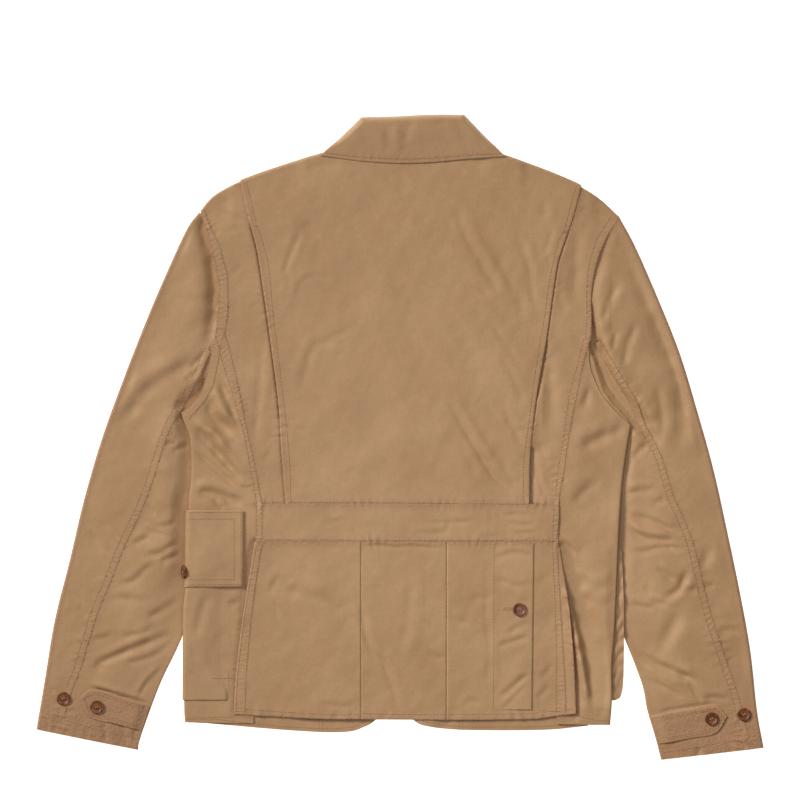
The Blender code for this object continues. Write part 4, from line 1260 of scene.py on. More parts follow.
# half width, height, run on the mat
BACK_CREASES: Sequence[Row] = (
    # between the shoulders
    (2.6, -0.38, "303,228 286,268 284,280"),
    (3.4, 0.25, "299,224 291,238 285,254 279,282"),
    (3.6, -0.21, "300,228 306,227 312,224"),
    (3, -0.21, "284,280 279,287 275,292"),
    (8, -0.34, "306,222 311,232 313,243"),
    (3.4, -0.29, "298,303 298,290 303,282 312,277 325,278 333,275"),
    (3, -0.21, "292,310 293,306 295,303"),
    (3.4, -0.21, "287,270 290,285 285,295"),
    (4, -0.21, "315,258 318,248 322,240"),
    (4.2, -0.21, "262,232 275,240 285,240"),
    (4, -0.17, "345,178 353,177 362,176"),
    (5, -0.21, "430,178 445,181 460,184"),
    (6, -0.21, "400,165 401,182 402,200"),
    (4.6, -0.34, "305,168 323,165 345,165"),
    (3.4, -0.42, "470,160 490,161 505,165 530,178"),
    # left half, above the waist
    (4.2, -0.38, "287,395 297,392 303,382 311,355 318,345 345,332 360,322"),
    (5, 0.21, "282,388 292,382 303,352 313,338 328,329"),
    (2.4, -0.21, "320,345 335,343 350,343"),
    (3, -0.21, "286,420 293,420 300,419"),
    (3, -0.21, "287,425 300,429 310,426"),
    (3.4, -0.29, "291,463 297,471 304,476 312,478"),
    (8, -0.17, "375,360 405,357 440,358"),
    (6, -0.17, "320,450 340,449 360,452"),
    (6, -0.17, "360,475 372,472 385,468"),
    (7, -0.17, "400,447 415,447 430,445"),
    (3, -0.25, "292,500 300,498 312,501"),
    # right half, from the collar to the pleat
    (5, -0.63, "448,205 458,215 463,230 472,248 503,300"),
    (5, 0.21, "457,198 468,213 483,246 513,295"),
    (5, -0.38, "490,245 512,288 520,300 520,335"),
    (3.8, -0.29, "475,283 490,298 505,312"),
    (3.8, -0.34, "467,306 495,328 508,355"),
    (4.2, -0.34, "498,350 510,370 520,395 523,410"),
    (4, -0.29, "505,340 515,360 525,375"),
    (4, -0.42, "525,228 518,240 524,250 530,275 533,300 541,312"),
    (5, 0.25, "527,236 530,250 532,264"),
    (2.8, -0.38, "553,228 546,250 541,255"),
    (2.8, -0.25, "549,255 548,260 547,265"),
    (4, -0.25, "543,200 544,210 545,220"),
    (3.6, -0.67, "445,395 485,463 497,479 521,495"),
    (4.6, 0.34, "452,390 473,427 494,459 505,473 518,483"),
    (5, -0.34, "437,438 450,440 462,450 472,465 478,480 488,487 500,492"),
    (4, -0.42, "500,400 521,443 528,449"),
    (3, -0.25, "512,430 521,430 531,431"),
    (3.6, -0.29, "500,463 510,478 516,485"),
    # left side of the back
    (3.6, -0.34, "215,212 228,216 244,224"),
    (3, -0.25, "222,232 235,230 247,228"),
    (3.6, -0.29, "228,278 235,272 245,263"),
    (3, -0.21, "250,310 256,305 262,300"),
    (3, -0.21, "236,300 237,310 238,320"),
    (4.4, -0.5, "266,330 262,355 255,455"),
    (4.4, 0.29, "270,370 264,420 263,445"),
    (3, -0.25, "268,400 265,420 262,440"),
    (3.6, -0.29, "275,443 268,455 262,465"),
    # right side of the back
    (4, -0.42, "577,208 590,212 605,218"),
    (6, -0.63, "583,228 577,245 575,270 575,290 580,305"),
    (4, -0.29, "558,290 562,305 570,310"),
    (6, -0.76, "548,346 552,410 556,435"),
    (3.4, 0.29, "542,375 541,405 543,435"),
    (2.6, -0.55, "531,462 538,478 546,500"),
    (4, -0.42, "540,440 543,455 550,468"),
    # waistband
    (2.4, -0.4, "500,516 515,514 530,515"),
    (2.4, -0.33, "428,522 455,522 480,520"),
    (2.2, -0.33, "505,521 520,525 535,524"),
    (2.4, -0.4, "510,533 524,533 538,531"),
    (2.6, -0.33, "410,532 430,533 450,532"),
    (2.4, -0.26, "480,535 490,536 500,535"),
    (2.4, -0.26, "445,535 447,527 450,520"),
    (2.4, -0.26, "353,528 357,536 362,539"),
    (2.4, -0.26, "267,528 273,533 278,538"),
    (2.6, -0.26, "320,523 332,522 345,520"),
    (2.4, -0.2, "490,505 491,518 492,530"),
    # skirt
    (3.6, -0.46, "268,595 274,585 279,573"),
    (6, -0.53, "279,573 283,590 300,592 325,601 337,608 350,601 359,599"),
    (3.6, -0.33, "275,600 277,610 278,620"),
    (3, -0.33, "320,703 345,706 357,700"),
    (1.5, -0.59, "358,546 384,545 396,547 409,545.5 434,547.5 450,546"),
    (5, -0.4, "408,560 410,600 400,662"),
    (2.6, -0.26, "401,551 403,555 404,560"),
    (3.4, -0.79, "359,592 367,638 375,655 386,667 404,722"),
    (3.4, -0.26, "363,668 380,685 392,695"),
    (4, -0.33, "425,650 435,656 445,658"),
    (4.4, -0.4, "470,595 485,598 495,590"),
    (4, -0.33, "448,615 460,622 470,618"),
    (3.6, -0.33, "488,560 486,600 489,650 487,700"),
    (3, -0.33, "463,708 470,700 478,702 482,707"),
    (2.8, -0.53, "495,557 517,553 532,557"),
    (2.4, -0.33, "505,550 508,551 512,553"),
    (2.8, -0.53, "496,577 515,585 532,583"),
    (3, -0.33, "510,592 520,600 530,600"),
    (2.8, -0.59, "495,647 515,640 530,636"),
    (2.8, -0.4, "507,635 520,625 530,622"),
    (3, -0.73, "496,697 505,693 525,676 531,677"),
    (2, -0.33, "500,712 515,696 530,680"),
    (3.4, -0.4, "535,700 545,690 550,683"),
    (3.4, -0.4, "540,680 548,670 553,660"),
    (3.4, -0.33, "537,585 542,580 547,575"),
)

SIDE_CREASES: Sequence[Row] = (
    # left flank, below the armhole
    (4.4, -2.12, "188,425 204,438 245,483"),
    (4.4, 1.12, "190,416 214,434 233,456"),
    (5.5, -2, "212,395 212,412 224,425 238,434"),
    (4, -1.25, "217,373 236,418 243,440"),
    (5, 1, "213,384 221,404 231,424"),
    (3.4, -1.12, "194,449 236,486 246,496"),
    (3, 0.88, "207,425 222,437 235,440"),
    (5, -1.88, "192,492 215,494 245,505"),
    (3, -0.88, "214,497 220,506 226,509"),
    (3, -0.49, "240,486 246,488 252,490"),
    (4, -0.66, "228,604 234,603 240,602"),
    (5, -0.57, "195,640 203,610 210,590"),
    (4, -0.41, "195,660 192,650 190,640"),
    # right flank
    (6, -1.31, "577,452 595,440 627,428"),
    (4.4, -0.66, "572,505 585,490 600,480"),
    (4, -0.74, "583,410 587,395 590,385"),
    (4.6, -0.82, "585,375 600,395 610,410"),
    (14, -2.6, "566,540 581,600 604,680 613,730"),
    (4.4, 2.9, "562,570 583,672 588,716"),
    (3.4, -1, "559,543 567,546 575,556"),
)


@dataclass
class BodyForm:
    """The relief that all cloth of the body shares, and the heights that come of it."""

    relief: Relief = field(init=False)
    gapes: list[tuple[Run, int, float, float, float, float]] = field(init=False)

    def __post_init__(self) -> None:
        """Gather the creases, the puckers and the gapes."""
        gathers = [Gather(Run(getattr(Line, name)), reach, height, pitch, seed)
                   for name, reach, height, pitch, seed in SEAMS]
        for y, seed in ((Line.WAIST_TOP, 31), (Line.WAIST_BOTTOM, 32)):
            gathers.append(Gather(Run([(-173, y), (189, y)]), 8.0, 0.4, 6.5, seed))
        self.relief = Relief([*BACK_CREASES, *SIDE_CREASES], gathers, loose=0.6, seed=11)
        self.gapes = [(Run(getattr(Line, name)), sign, depth, width, low, high)
                      for name, sign, depth, width, low, high in GAPES]

    def fade(self, x: np.ndarray, y: np.ndarray) -> np.ndarray:
        """Share of the relief that is left near the folds of the outline."""
        share = np.ones(np.shape(x))
        for line, rim in ((Line.SIDE_LEFT, 2.4), (Line.SIDE_RIGHT, 2.4), (Line.SHOULDER_LEFT, 3.4),
                          (Line.NECK, 3.4), (Line.SHOULDER_RIGHT, 3.4)):
            away, _ = Run(line, rounded=False).near(x, y)
            share = share * ease((np.abs(away) - rim) / 11.0)
        return share

    def face(self, plan: np.ndarray, level: float) -> np.ndarray:
        """Heights of a piece's outer face.

        Args:
            plan: net of (x, y).
            level: number of cloths below it.

        Returns:
            Height of each net point.
        """
        x, y = plan[..., 0], plan[..., 1]
        fade = self.fade(x, y)
        lift = self.relief.at(x, y) * fade
        if level == 0:
            for run, sign, depth, width, low, high in self.gapes:
                outside = run.near(x, y)[0] * sign
                reach = np.where(outside > 0, width, 9.0)
                lift = lift - (depth * np.exp(-(outside / reach) ** 2)
                               * plateau(y, low, high, 10.0) * fade)
        height = LAY.ground(x, y) + level * LAY.lap + lift
        closing = 1.0 - ease((np.abs(x - LAY.centre_line(y)) - 34.0) / 24.0)
        least = LAY.front(x, y) + 2.4 + level * LAY.lap + (LAY.lap + 0.4) * closing
        return 0.5 * (height + least + np.sqrt((height - least) ** 2 + 0.3))

    def seam(self, plan: np.ndarray) -> np.ndarray:
        """How near each net point is to a seam: its share of the darker seam colour, partly painted
        shade of the puckers.
        """
        return self.relief.seam_share(plan[..., 0], plan[..., 1]) * 0.8


def drawn_in(net: np.ndarray, gap: float, sides: Sequence[str]) -> np.ndarray:
    """Move the named sides of a net inwards by a gap.

    Args:
        net: rows by columns of (x, y).
        gap: the gap in millimetres.
        sides: any of top, bottom, left and right.

    Returns:
        The moved net.
    """
    net = net.copy()
    pairs = {"top": (0, 1), "bottom": (-1, -2), "left": (0, 1), "right": (-1, -2)}
    for side in sides:
        edge, inside = pairs[side]
        view = net if side in ("top", "bottom") else net.transpose(1, 0, 2)
        step = view[inside] - view[edge]
        view[edge] += gap * step / np.linalg.norm(step, axis=1)[:, None]
    return net


@dataclass
class Back:
    """Centre panel, its two shoulder pleats, both sides of the back and the waistband."""

    bench: Bench
    form: BodyForm
    step: float = 2.25
    side_step: float = 2.4
    underlay: float = 24.0

    def shouldered(self, plan: np.ndarray, level: int, node: str, edges: Sequence[str]) -> None:
        """Make a panel that turns round the shoulder fold.

        Args:
            plan: its net from the fold down.
            level: number of cloths below it.
            node: the node that it replaces.
            edges: its folded edges, which roll down: left, right or none.
        """
        radius = LAY.shoulder_radius + level * LAY.lap
        outline = plan[0]
        inward = towards(outline, (float(LAY.centre_line(0.0)), -200.0))
        plan = plan.copy()
        plan[0] = outline + inward * LAY.shoulder_radius
        height = self.form.face(plan, level)
        low = LAY.shoulder_rise(plan[0][:, 0]) - level * LAY.lap
        height[0] = low + 2 * radius
        rub = np.zeros(plan.shape[:2])
        for edge in edges:
            border = plan[:, :1] if edge == "left" else plan[:, -1:]
            away = np.linalg.norm(plan - border, axis=2)
            height += softened_edge(away)
            rub = np.maximum(rub, np.exp(-(away / 2.0) ** 2))
        top = lifted(plan, height)
        turned = half_turn(plan[0], inward, low, radius)
        leg = np.column_stack([plan[0] + inward * LAY.shoulder_leg, low])
        net = np.array([leg] + turned[::-1] + list(top))
        extra = len(net) - len(plan)
        seam = np.vstack([np.zeros((extra, plan.shape[1])), self.form.seam(plan)])
        rub = np.vstack([np.zeros((extra, plan.shape[1])), rub])
        self.bench.cloth(node, net, Facing.UP, seam, rub)

    def centre(self) -> None:
        """Make the centre panel."""
        top = Run([Line.PLEAT_LEFT[0], *Line.SHOULDER_LEFT[2:0:-1], *Line.NECK,
                   *Line.SHOULDER_RIGHT[1:4], Line.PLEAT_RIGHT[0]])
        bottom = Run([Line.PLEAT_LEFT[-1], Line.PLEAT_RIGHT[-1]])
        across = np.r_[0.0, 0.0015, 0.003, 0.006, 0.01,
                       np.linspace(0.015, 0.985, round(370 / self.step)),
                       0.99, 0.994, 0.997, 0.9985, 1.0]
        down = np.linspace(0.0, 1.0, round(410 / self.step))
        plan = patch(top, bottom, Run(Line.PLEAT_LEFT), Run(Line.PLEAT_RIGHT), across, down)
        self.shouldered(drawn_in(plan, LAY.gap, ("bottom",)), 1, "back_centre", ("left", "right"))

    def side(self, side: Side) -> None:
        """Make one side of the back, which runs on under the pleat."""
        down = np.linspace(0.0, 1.0, round(400 / self.side_step))
        across = np.r_[np.linspace(0.0, 0.46, 16), np.linspace(0.47, 0.80, 30),
                       np.linspace(0.84, 1.0, 6)]
        across = across if side is Side.LEFT else 1.0 - across[::-1]
        if side is Side.LEFT:
            seam = Line.ARMHOLE_LEFT + Line.BACK_SEAM_LEFT[1:]
            hidden = [(x + self.underlay, y) for x, y in Line.PLEAT_LEFT]
            hidden[0] = (hidden[0][0], 317.0)
            top = [seam[0], (-224, 290), (-198, 305), hidden[0]]
            plan = patch(Run(top), Run([seam[-1], hidden[-1]]), Run(seam), Run(hidden), across, down)
            plan = drawn_in(plan, LAY.gap, ("bottom", "left"))
        else:
            seam = Line.ARMHOLE_RIGHT + Line.BACK_SEAM_RIGHT[1:]
            hidden = [(x - self.underlay, y) for x, y in Line.PLEAT_RIGHT]
            hidden[0] = (hidden[0][0], 312.2)
            top = [hidden[0], (211, 304.3), (238, 288), seam[0]]
            plan = patch(Run(top), Run([hidden[-1], seam[-1]]), Run(hidden), Run(seam), across, down)
            plan = drawn_in(plan, LAY.gap, ("bottom", "right"))
        self.shouldered(plan, 0, f"back_side_{side.name.lower()}", ())

    def waistband(self) -> None:
        """Make the band across the back's waist."""
        left, right = Line.BACK_SEAM_LEFT[-1][0] - 3.0, Line.BACK_SEAM_RIGHT[-1][0] + 2.0
        top, bottom = Line.WAIST_TOP, Line.WAIST_BOTTOM
        across = np.linspace(0.0, 1.0, round((right - left) / self.step))
        down = spread(top - bottom, self.step, 2.0, 0.7)
        plan = patch(Run([(left, top), (right, top)]), Run([(left, bottom), (right, bottom)]),
                     Run([(left, top), (left, bottom)]), Run([(right, top), (right, bottom)]),
                     across, down)
        plan = drawn_in(plan, LAY.gap, ("top", "bottom"))
        height = self.form.face(plan, 1)
        away = np.minimum(top - plan[..., 1], plan[..., 1] - bottom)
        height += softened_edge(away, 0.25, 1.2)
        self.bench.cloth("waistband", lifted(plan, height), Facing.UP, self.form.seam(plan))

    def build(self) -> None:
        """Build all of it."""
        self.centre()
        for side in Side:
            self.side(side)
        self.waistband()


@dataclass
class Skirt:
    """Two skirt halves over the floor of an inverted box pleat, and the pocket placket."""

    bench: Bench
    form: BodyForm
    step: float = 2.2
    box: Point = (-47.0, 56.0)
    underlay: float = 18.0
    placket: tuple[Point, Point] = ((113.0, 160.0), (112.0, 158.0))
    button: Point = (143.0, -205.0)

    def panel(self, node: str, top: Path, bottom: Path, left: Path, right: Path, level: int,
              gap_sides: Sequence[str], folded: Sequence[str], rise: float = 0.0,
              stands: tuple[str, float, float, float] | None = None) -> None:
        """Make one flat panel.

        Args:
            node: the node that it replaces.
            top: its upper edge.
            bottom: its hem.
            left: its left edge.
            right: its right edge.
            level: number of cloths below it.
            gap_sides: sides that stop short of a seam.
            folded: sides whose edge rolls down.
            rise: how far it comes up, at its right edge or, for the lowest, in the box pleat.
            stands: side whose edge stands up, how far, from which Y and to which Y.
        """
        edges = [Run(line) for line in (top, bottom, left, right)]
        across = spread(max(edges[0].length, edges[1].length), self.step, 2.4, 0.8)
        if level == 0:
            inner = (self.underlay + np.arange(-3.0, 5.0, 0.9)) / edges[0].length
            across = np.unique(np.r_[across, inner, 1.0 - inner])
            across = across[np.r_[True, np.diff(across) > 0.002]]
        down = spread(edges[2].length, self.step, 2.4, 0.8)
        plan = drawn_in(patch(*edges, across, down), LAY.gap, gap_sides)
        height = self.form.face(plan, level)
        if level == 0:
            height += rise * plateau(plan[..., 0], self.box[0] + 1.6, self.box[1] - 1.6, 2.2)
        else:
            height += rise * (0.1 + 0.9 * ease(across / 0.8))[None]
        rub = np.zeros(plan.shape[:2])
        borders = {"left": plan[:, :1], "right": plan[:, -1:], "bottom": plan[-1:], "top": plan[:1]}
        for side in folded:
            away = np.linalg.norm(plan - borders[side], axis=2)
            height += softened_edge(away)
            rub = np.maximum(rub, np.exp(-(away / 1.8) ** 2))
        if stands:
            side, up, low, high = stands
            away = np.linalg.norm(plan - borders[side], axis=2)
            height += up * np.exp(-(away / 15.0) ** 2) * plateau(plan[..., 1], low, high, 26.0)
        self.bench.cloth(node, lifted(plan, height), Facing.UP, self.form.seam(plan), rub)

    def build(self) -> None:
        """Build all of it."""
        left, right = self.box
        waist = Line.WAIST_BOTTOM
        self.panel("skirt_pleat", [(left - self.underlay, waist), (right + self.underlay, waist)],
                   [(left - self.underlay, -337), (right + self.underlay, -338)],
                   [(left - self.underlay, waist), (left - self.underlay, -337)],
                   [(right + self.underlay, waist), (right + self.underlay, -338)],
                   0, ("top",), ("bottom",), rise=1.25)
        self.panel("skirt_left", [Line.VENT_LEFT[0], (left, waist)],
                   [Line.VENT_LEFT[-1], (-149, -334), (-89, -337), (left, -337)],
                   Line.VENT_LEFT, [(left, waist), (left, -337)], 1, ("top",),
                   ("left", "right", "bottom"), stands=("left", 1.8, -208, -132))
        self.panel("skirt_right", [(right, waist), Line.VENT_RIGHT[0]],
                   [(right, -338), (155, -337), (182, -334), Line.VENT_RIGHT[-1]],
                   [(right, waist), (right, -338)], Line.VENT_RIGHT, 1, ("top",),
                   ("left", "right", "bottom"), stands=("right", 2.4, -330, -180))
        (a, b), (c, d) = self.placket
        self.panel("rear_pocket_placket", [(a, -126), (b, -126)], [(c, -325), (d, -325)],
                   [(a, -126), (c, -325)], [(b, -126), (d, -325)], 1, (), ("right",), rise=1.7)
        x, y = self.button
        self.bench.set_button("rear_pocket_button", (x, y, self.bench.shed.rest(x, y)[0] + 0.35))


@dataclass
class Flank:
    """Side of the body, which turns round the side fold to a seam on the underside."""

    bench: Bench
    form: BodyForm
    side: Side
    step: float = 2.3

    def build(self) -> None:
        """Build the panel."""
        if self.side is Side.LEFT:
            fold, arm = Line.SIDE_LEFT, Line.UNDERARM_LEFT
            seam = Line.BACK_SEAM_LEFT + [(-167, -124), (-166, -200), (-176, -342)]
            under = [(-237, 47), (-226, 0), (-224, -59), (-227, -76), (-228, -170), (-232, -342)]
        else:
            fold, arm = Line.SIDE_RIGHT, Line.UNDERARM_RIGHT
            seam = Line.BACK_SEAM_RIGHT + [(184, -124), (182, -200), (188, -343)]
            under = [(244, 44), (246, -11), (241, -47), (238, -82), (231, -229), (226, -344)]
        down = np.linspace(0.0, 1.0, round(400 / self.step))
        across = np.linspace(0.0, 1.0, round(88 / self.step))
        edge = Run(fold).at(down)
        inward = towards(edge, (float(LAY.centre_line(0.0)), -100.0))
        inset_edge = edge + inward * LAY.side_radius
        plan = patch(Run(arm[::-1]), Run([fold[-1], seam[-1]]), Run(fold), Run(seam), across, down)
        plan = plan + (inset_edge - edge)[:, None] * (1.0 - across)[None, :, None]
        plan = drawn_in(plan, 2 * LAY.gap, ("top",))
        plan = drawn_in(plan, LAY.gap, ("right",))
        low = LAY.side_rise(plan[:, 0, 1], self.side)
        height = self.form.face(plan, 0)
        height[:, 0] = low + 2 * LAY.side_radius
        top = lifted(plan, height)
        turned = half_turn(plan[:, 0], inward, low, LAY.side_radius)
        foot = Run(under).at(down)
        legs = []
        for share in (0.12, 0.3, 0.5, 0.75, 1.0):
            leg = plan[:, 0] + (foot - plan[:, 0]) * share
            legs.append(np.column_stack([leg, LAY.front(leg[:, 0], leg[:, 1])]))
        columns = [top[:, k] for k in range(len(across) - 1, -1, -1)] + turned + legs
        seam_share = self.form.seam(plan)[:, ::-1]
        spare = np.zeros((len(plan), len(columns) - plan.shape[1]))
        self.bench.cloth(f"side_{self.side.name.lower()}", np.stack(columns, axis=1), Facing.UP,
                         np.hstack([seam_share, spare]))


@dataclass
class PatchPockets:
    """The two bellows pockets: the left one turns round the side fold, the right one peeps out."""

    bench: Bench
    form: BodyForm
    flap: Point = (-86.0, -178.0)
    bag_bottom: float = -314.0
    flap_inner: float = -188.0
    bag_inner: float = -205.0
    under: float = -153.0
    right_under: float = 96.0
    right_outer: float = 226.0
    bag_edge: Path = ((262, -128), (266, -150), (268, -190), (268, -280), (265, -308), (258, -314))
    step: float = 2.3

    def wrapped(self, node: str, inner: float, under: float, top: float, bottom: float,
                level: int) -> None:
        """Make a pocket piece that turns round the left side fold.

        Args:
            node: the node that it replaces.
            inner: X of its edge on the back.
            under: X of its edge on the underside.
            top: Y of its upper edge.
            bottom: Y of its lower edge.
            level: number of pocket cloths up to it.
        """
        out = level * LAY.pocket_lap
        rows_y = top + (bottom - top) * spread(top - bottom, self.step, 2.4, 0.8)
        line = np.array(Line.SIDE_LEFT, float)[::-1]
        fold = np.interp(rows_y, line[:, 1], line[:, 0]) + LAY.side_radius
        low = LAY.side_rise(rows_y, Side.LEFT)
        ends = np.minimum(top - rows_y, rows_y - bottom)
        columns, rub = [], []
        for share in spread(64.0, self.step, 2.4, 0.8):
            x = inner + (fold - inner) * share
            plan = np.column_stack([x, rows_y])
            height = self.form.face(plan, 0)
            if share >= 1.0:
                height = low + 2 * LAY.side_radius
            away = np.minimum(np.abs(x - inner), ends)
            step = out + softened_edge(away)
            if level == 1:
                slope = 4.0 + 26.0 * ease((rows_y - bottom - 6.0) / 30.0)
                sunk = ease((inner - x) / slope)
                step = step * sunk - 0.6 * (1.0 - sunk)
            columns.append(np.column_stack([plan, height + step]))
            rub.append(np.exp(-(away / 1.8) ** 2))
        plan = np.column_stack([fold, rows_y])
        outward = np.tile([1.0, 0.0], (len(rows_y), 1))
        columns += half_turn(plan, outward, low - out, LAY.side_radius + out)
        for share in np.r_[0.06, 0.15, 0.22, 0.3, 0.45, 0.6, 0.75, 0.9, 1.0]:
            x = fold + (under - fold) * share
            columns.append(np.column_stack([x, rows_y, LAY.front(x, rows_y) - out]))
        rub += [np.zeros(len(rows_y))] * (len(columns) - len(rub))
        net = np.stack(columns, axis=1)
        self.bench.cloth(node, net, Facing.UP, None, np.stack(rub, axis=1))

    def right(self) -> None:
        """Make the right bag and flap, on the underside."""
        inner, top, bottom = self.right_under, self.flap[0], self.flap[1]
        edge = [(self.right_outer, top - 6.0), *self.bag_edge]
        across = np.r_[np.linspace(0, 0.8, 20), np.linspace(0.82, 1, 16)]
        down = np.linspace(0, 1, 84)
        plan = patch(Run([(inner, top - 6.0), edge[0]]), Run([(inner, self.bag_bottom), edge[-1]]),
                     Run([(inner, top - 6.0), (inner, self.bag_bottom)]), Run(edge), across, down)
        x, y = plan[..., 0], plan[..., 1]
        low = LAY.under_layers(x, y) - LAY.pocket_lap
        rise = (4.6 - low) * ease((x - 230.0) / 20.0)
        rise += 1.5 * np.abs(swell(x, y, 17.0, 93)) * ease((x - 244.0) / 8.0)
        self.bench.cloth("pocket_bag_right", lifted(plan, low + rise), Facing.DOWN)
        x0, x1 = inner - 2.0, self.right_outer
        plan = patch(Run([(x0, top), (x1, top)]), Run([(x0, bottom), (x1, bottom)]),
                     Run([(x0, top), (x0, bottom)]), Run([(x1, top), (x1, bottom)]),
                     np.linspace(0, 1, 26), np.linspace(0, 1, 20))
        self.bench.cloth("pocket_flap_right",
                         lifted(plan, LAY.button_dome(plan[..., 0], plan[..., 1])), Facing.DOWN)
        self.bench.set_button("pocket_button_right", (*LAY.hidden_button, 2.6), (0, 0, -1))

    def build(self) -> None:
        """Build both pockets."""
        self.wrapped("pocket_bag_left", self.bag_inner, self.under, self.flap[0] - 6.0,
                     self.bag_bottom, 1)
        self.wrapped("pocket_flap_left", self.flap_inner, self.under + 2.0, self.flap[0],
                     self.flap[1], 2)
        self.bench.set_button("pocket_button_left", (-257.6, -160.0, 11.9), (-0.95, 0.0, 0.31))
        self.right()


@dataclass
class Fronts:
    """The two fronts on the underside, buttoned, with the left one outermost."""

    bench: Bench
    step: float = 6.0
    rows: Sequence[float] = (196.0, 106.0, 16.0, -74.0, -164.0)

    def panel(self, node: str, top: Path, bottom: Path, left: Path, right: Path,
              raised: bool) -> None:
        """Make one front.

        Args:
            node: the node that it replaces.
            top: its upper edge.
            bottom: its hem.
            left: its left edge.
            right: its right edge.
            raised: whether it lies on the other one at the closing.
        """
        across = np.linspace(0, 1, 70)
        down = np.r_[np.linspace(0, 0.92, 60), np.linspace(0.925, 1, 18)]
        plan = patch(Run(top), Run(bottom), Run(left), Run(right), across, down)
        plan = drawn_in(plan, LAY.gap, ("left", "right"))
        x, y = plan[..., 0], plan[..., 1]
        from_edge = x - LAY.centre_line(y)
        over = (LAY.lap + 0.4) * (1.0 - ease((from_edge - 34.0) / 24.0)) if raised else 0.0
        hem = Relief((), [Gather(Run(bottom), 12.0, 0.7, 18.0, 35)], loose=0.3, seed=36)
        lift = np.clip(hem.at(x, y), 0.0, 1.0) * ease((-328.0 - y) / 10.0)
        self.bench.cloth(node, lifted(plan, LAY.front(x, y) + over + lift), Facing.DOWN, inner=True)

    def build(self) -> None:
        """Build the fronts and their buttons."""
        e = 22.0
        self.panel(
            "front_left",
            [(-233, 253), (-158, 296), (-79, 323), (-62, 295), (-30, 270), (e, 262)],
            [(-231.5, -342), (-139, -350), (-89, -353), (-60, -352), (-44, -347), (-29, -338),
             (0, -306)],
            [(-233, 253), (-225, 238), (-217, 205), (-213, 165), (-218, 112), (-228, 72),
             (-231, 40), (-224.5, 0), (-223, -59), (-226, -76), (-227, -170), (-231.5, -342)],
            [(e, 262), (e - 6, 60), (e - 12, -200), (e - 15, -262), (0, -306)], False)
        self.panel(
            "front_right",
            [(-e + 10, 262), (62, 270), (90, 295), (108, 322), (174, 299), (251, 248)],
            [(-6, -310), (16, -338), (35, -346), (76, -350), (172, -350), (225.5, -345)],
            [(-e + 10, 262), (-e + 4, 60), (-e - 4, -200), (-e - 6, -262), (-6, -310)],
            [(251, 248), (241, 232), (232, 208), (227, 174), (226.5, 140), (226, 100), (231, 68),
             (241, 40), (245, -11), (240, -47), (237, -82), (230, -229), (225.5, -345)], True)
        for number, y in enumerate(self.rows, 1):
            self.bench.set_button(f"front_button_{number}",
                                  (float(LAY.centre_line(y)), y, 2.6), (0, 0, -1), 0.3 * number)


COLLAR_CREASES: Sequence[Row] = (
    (5, -0.8, "387,122 388,140 389,158"),
    (4.4, -0.7, "413,118 409,130 405,144"),
    (4, 0.4, "396,122 397,138 398,154"),
    (5, -0.5, "352,128 345,140 336,152"),
    (5, -0.5, "455,122 462,135 470,150"),
    (3.4, -0.5, "435,121 440,124 448,122"),
)


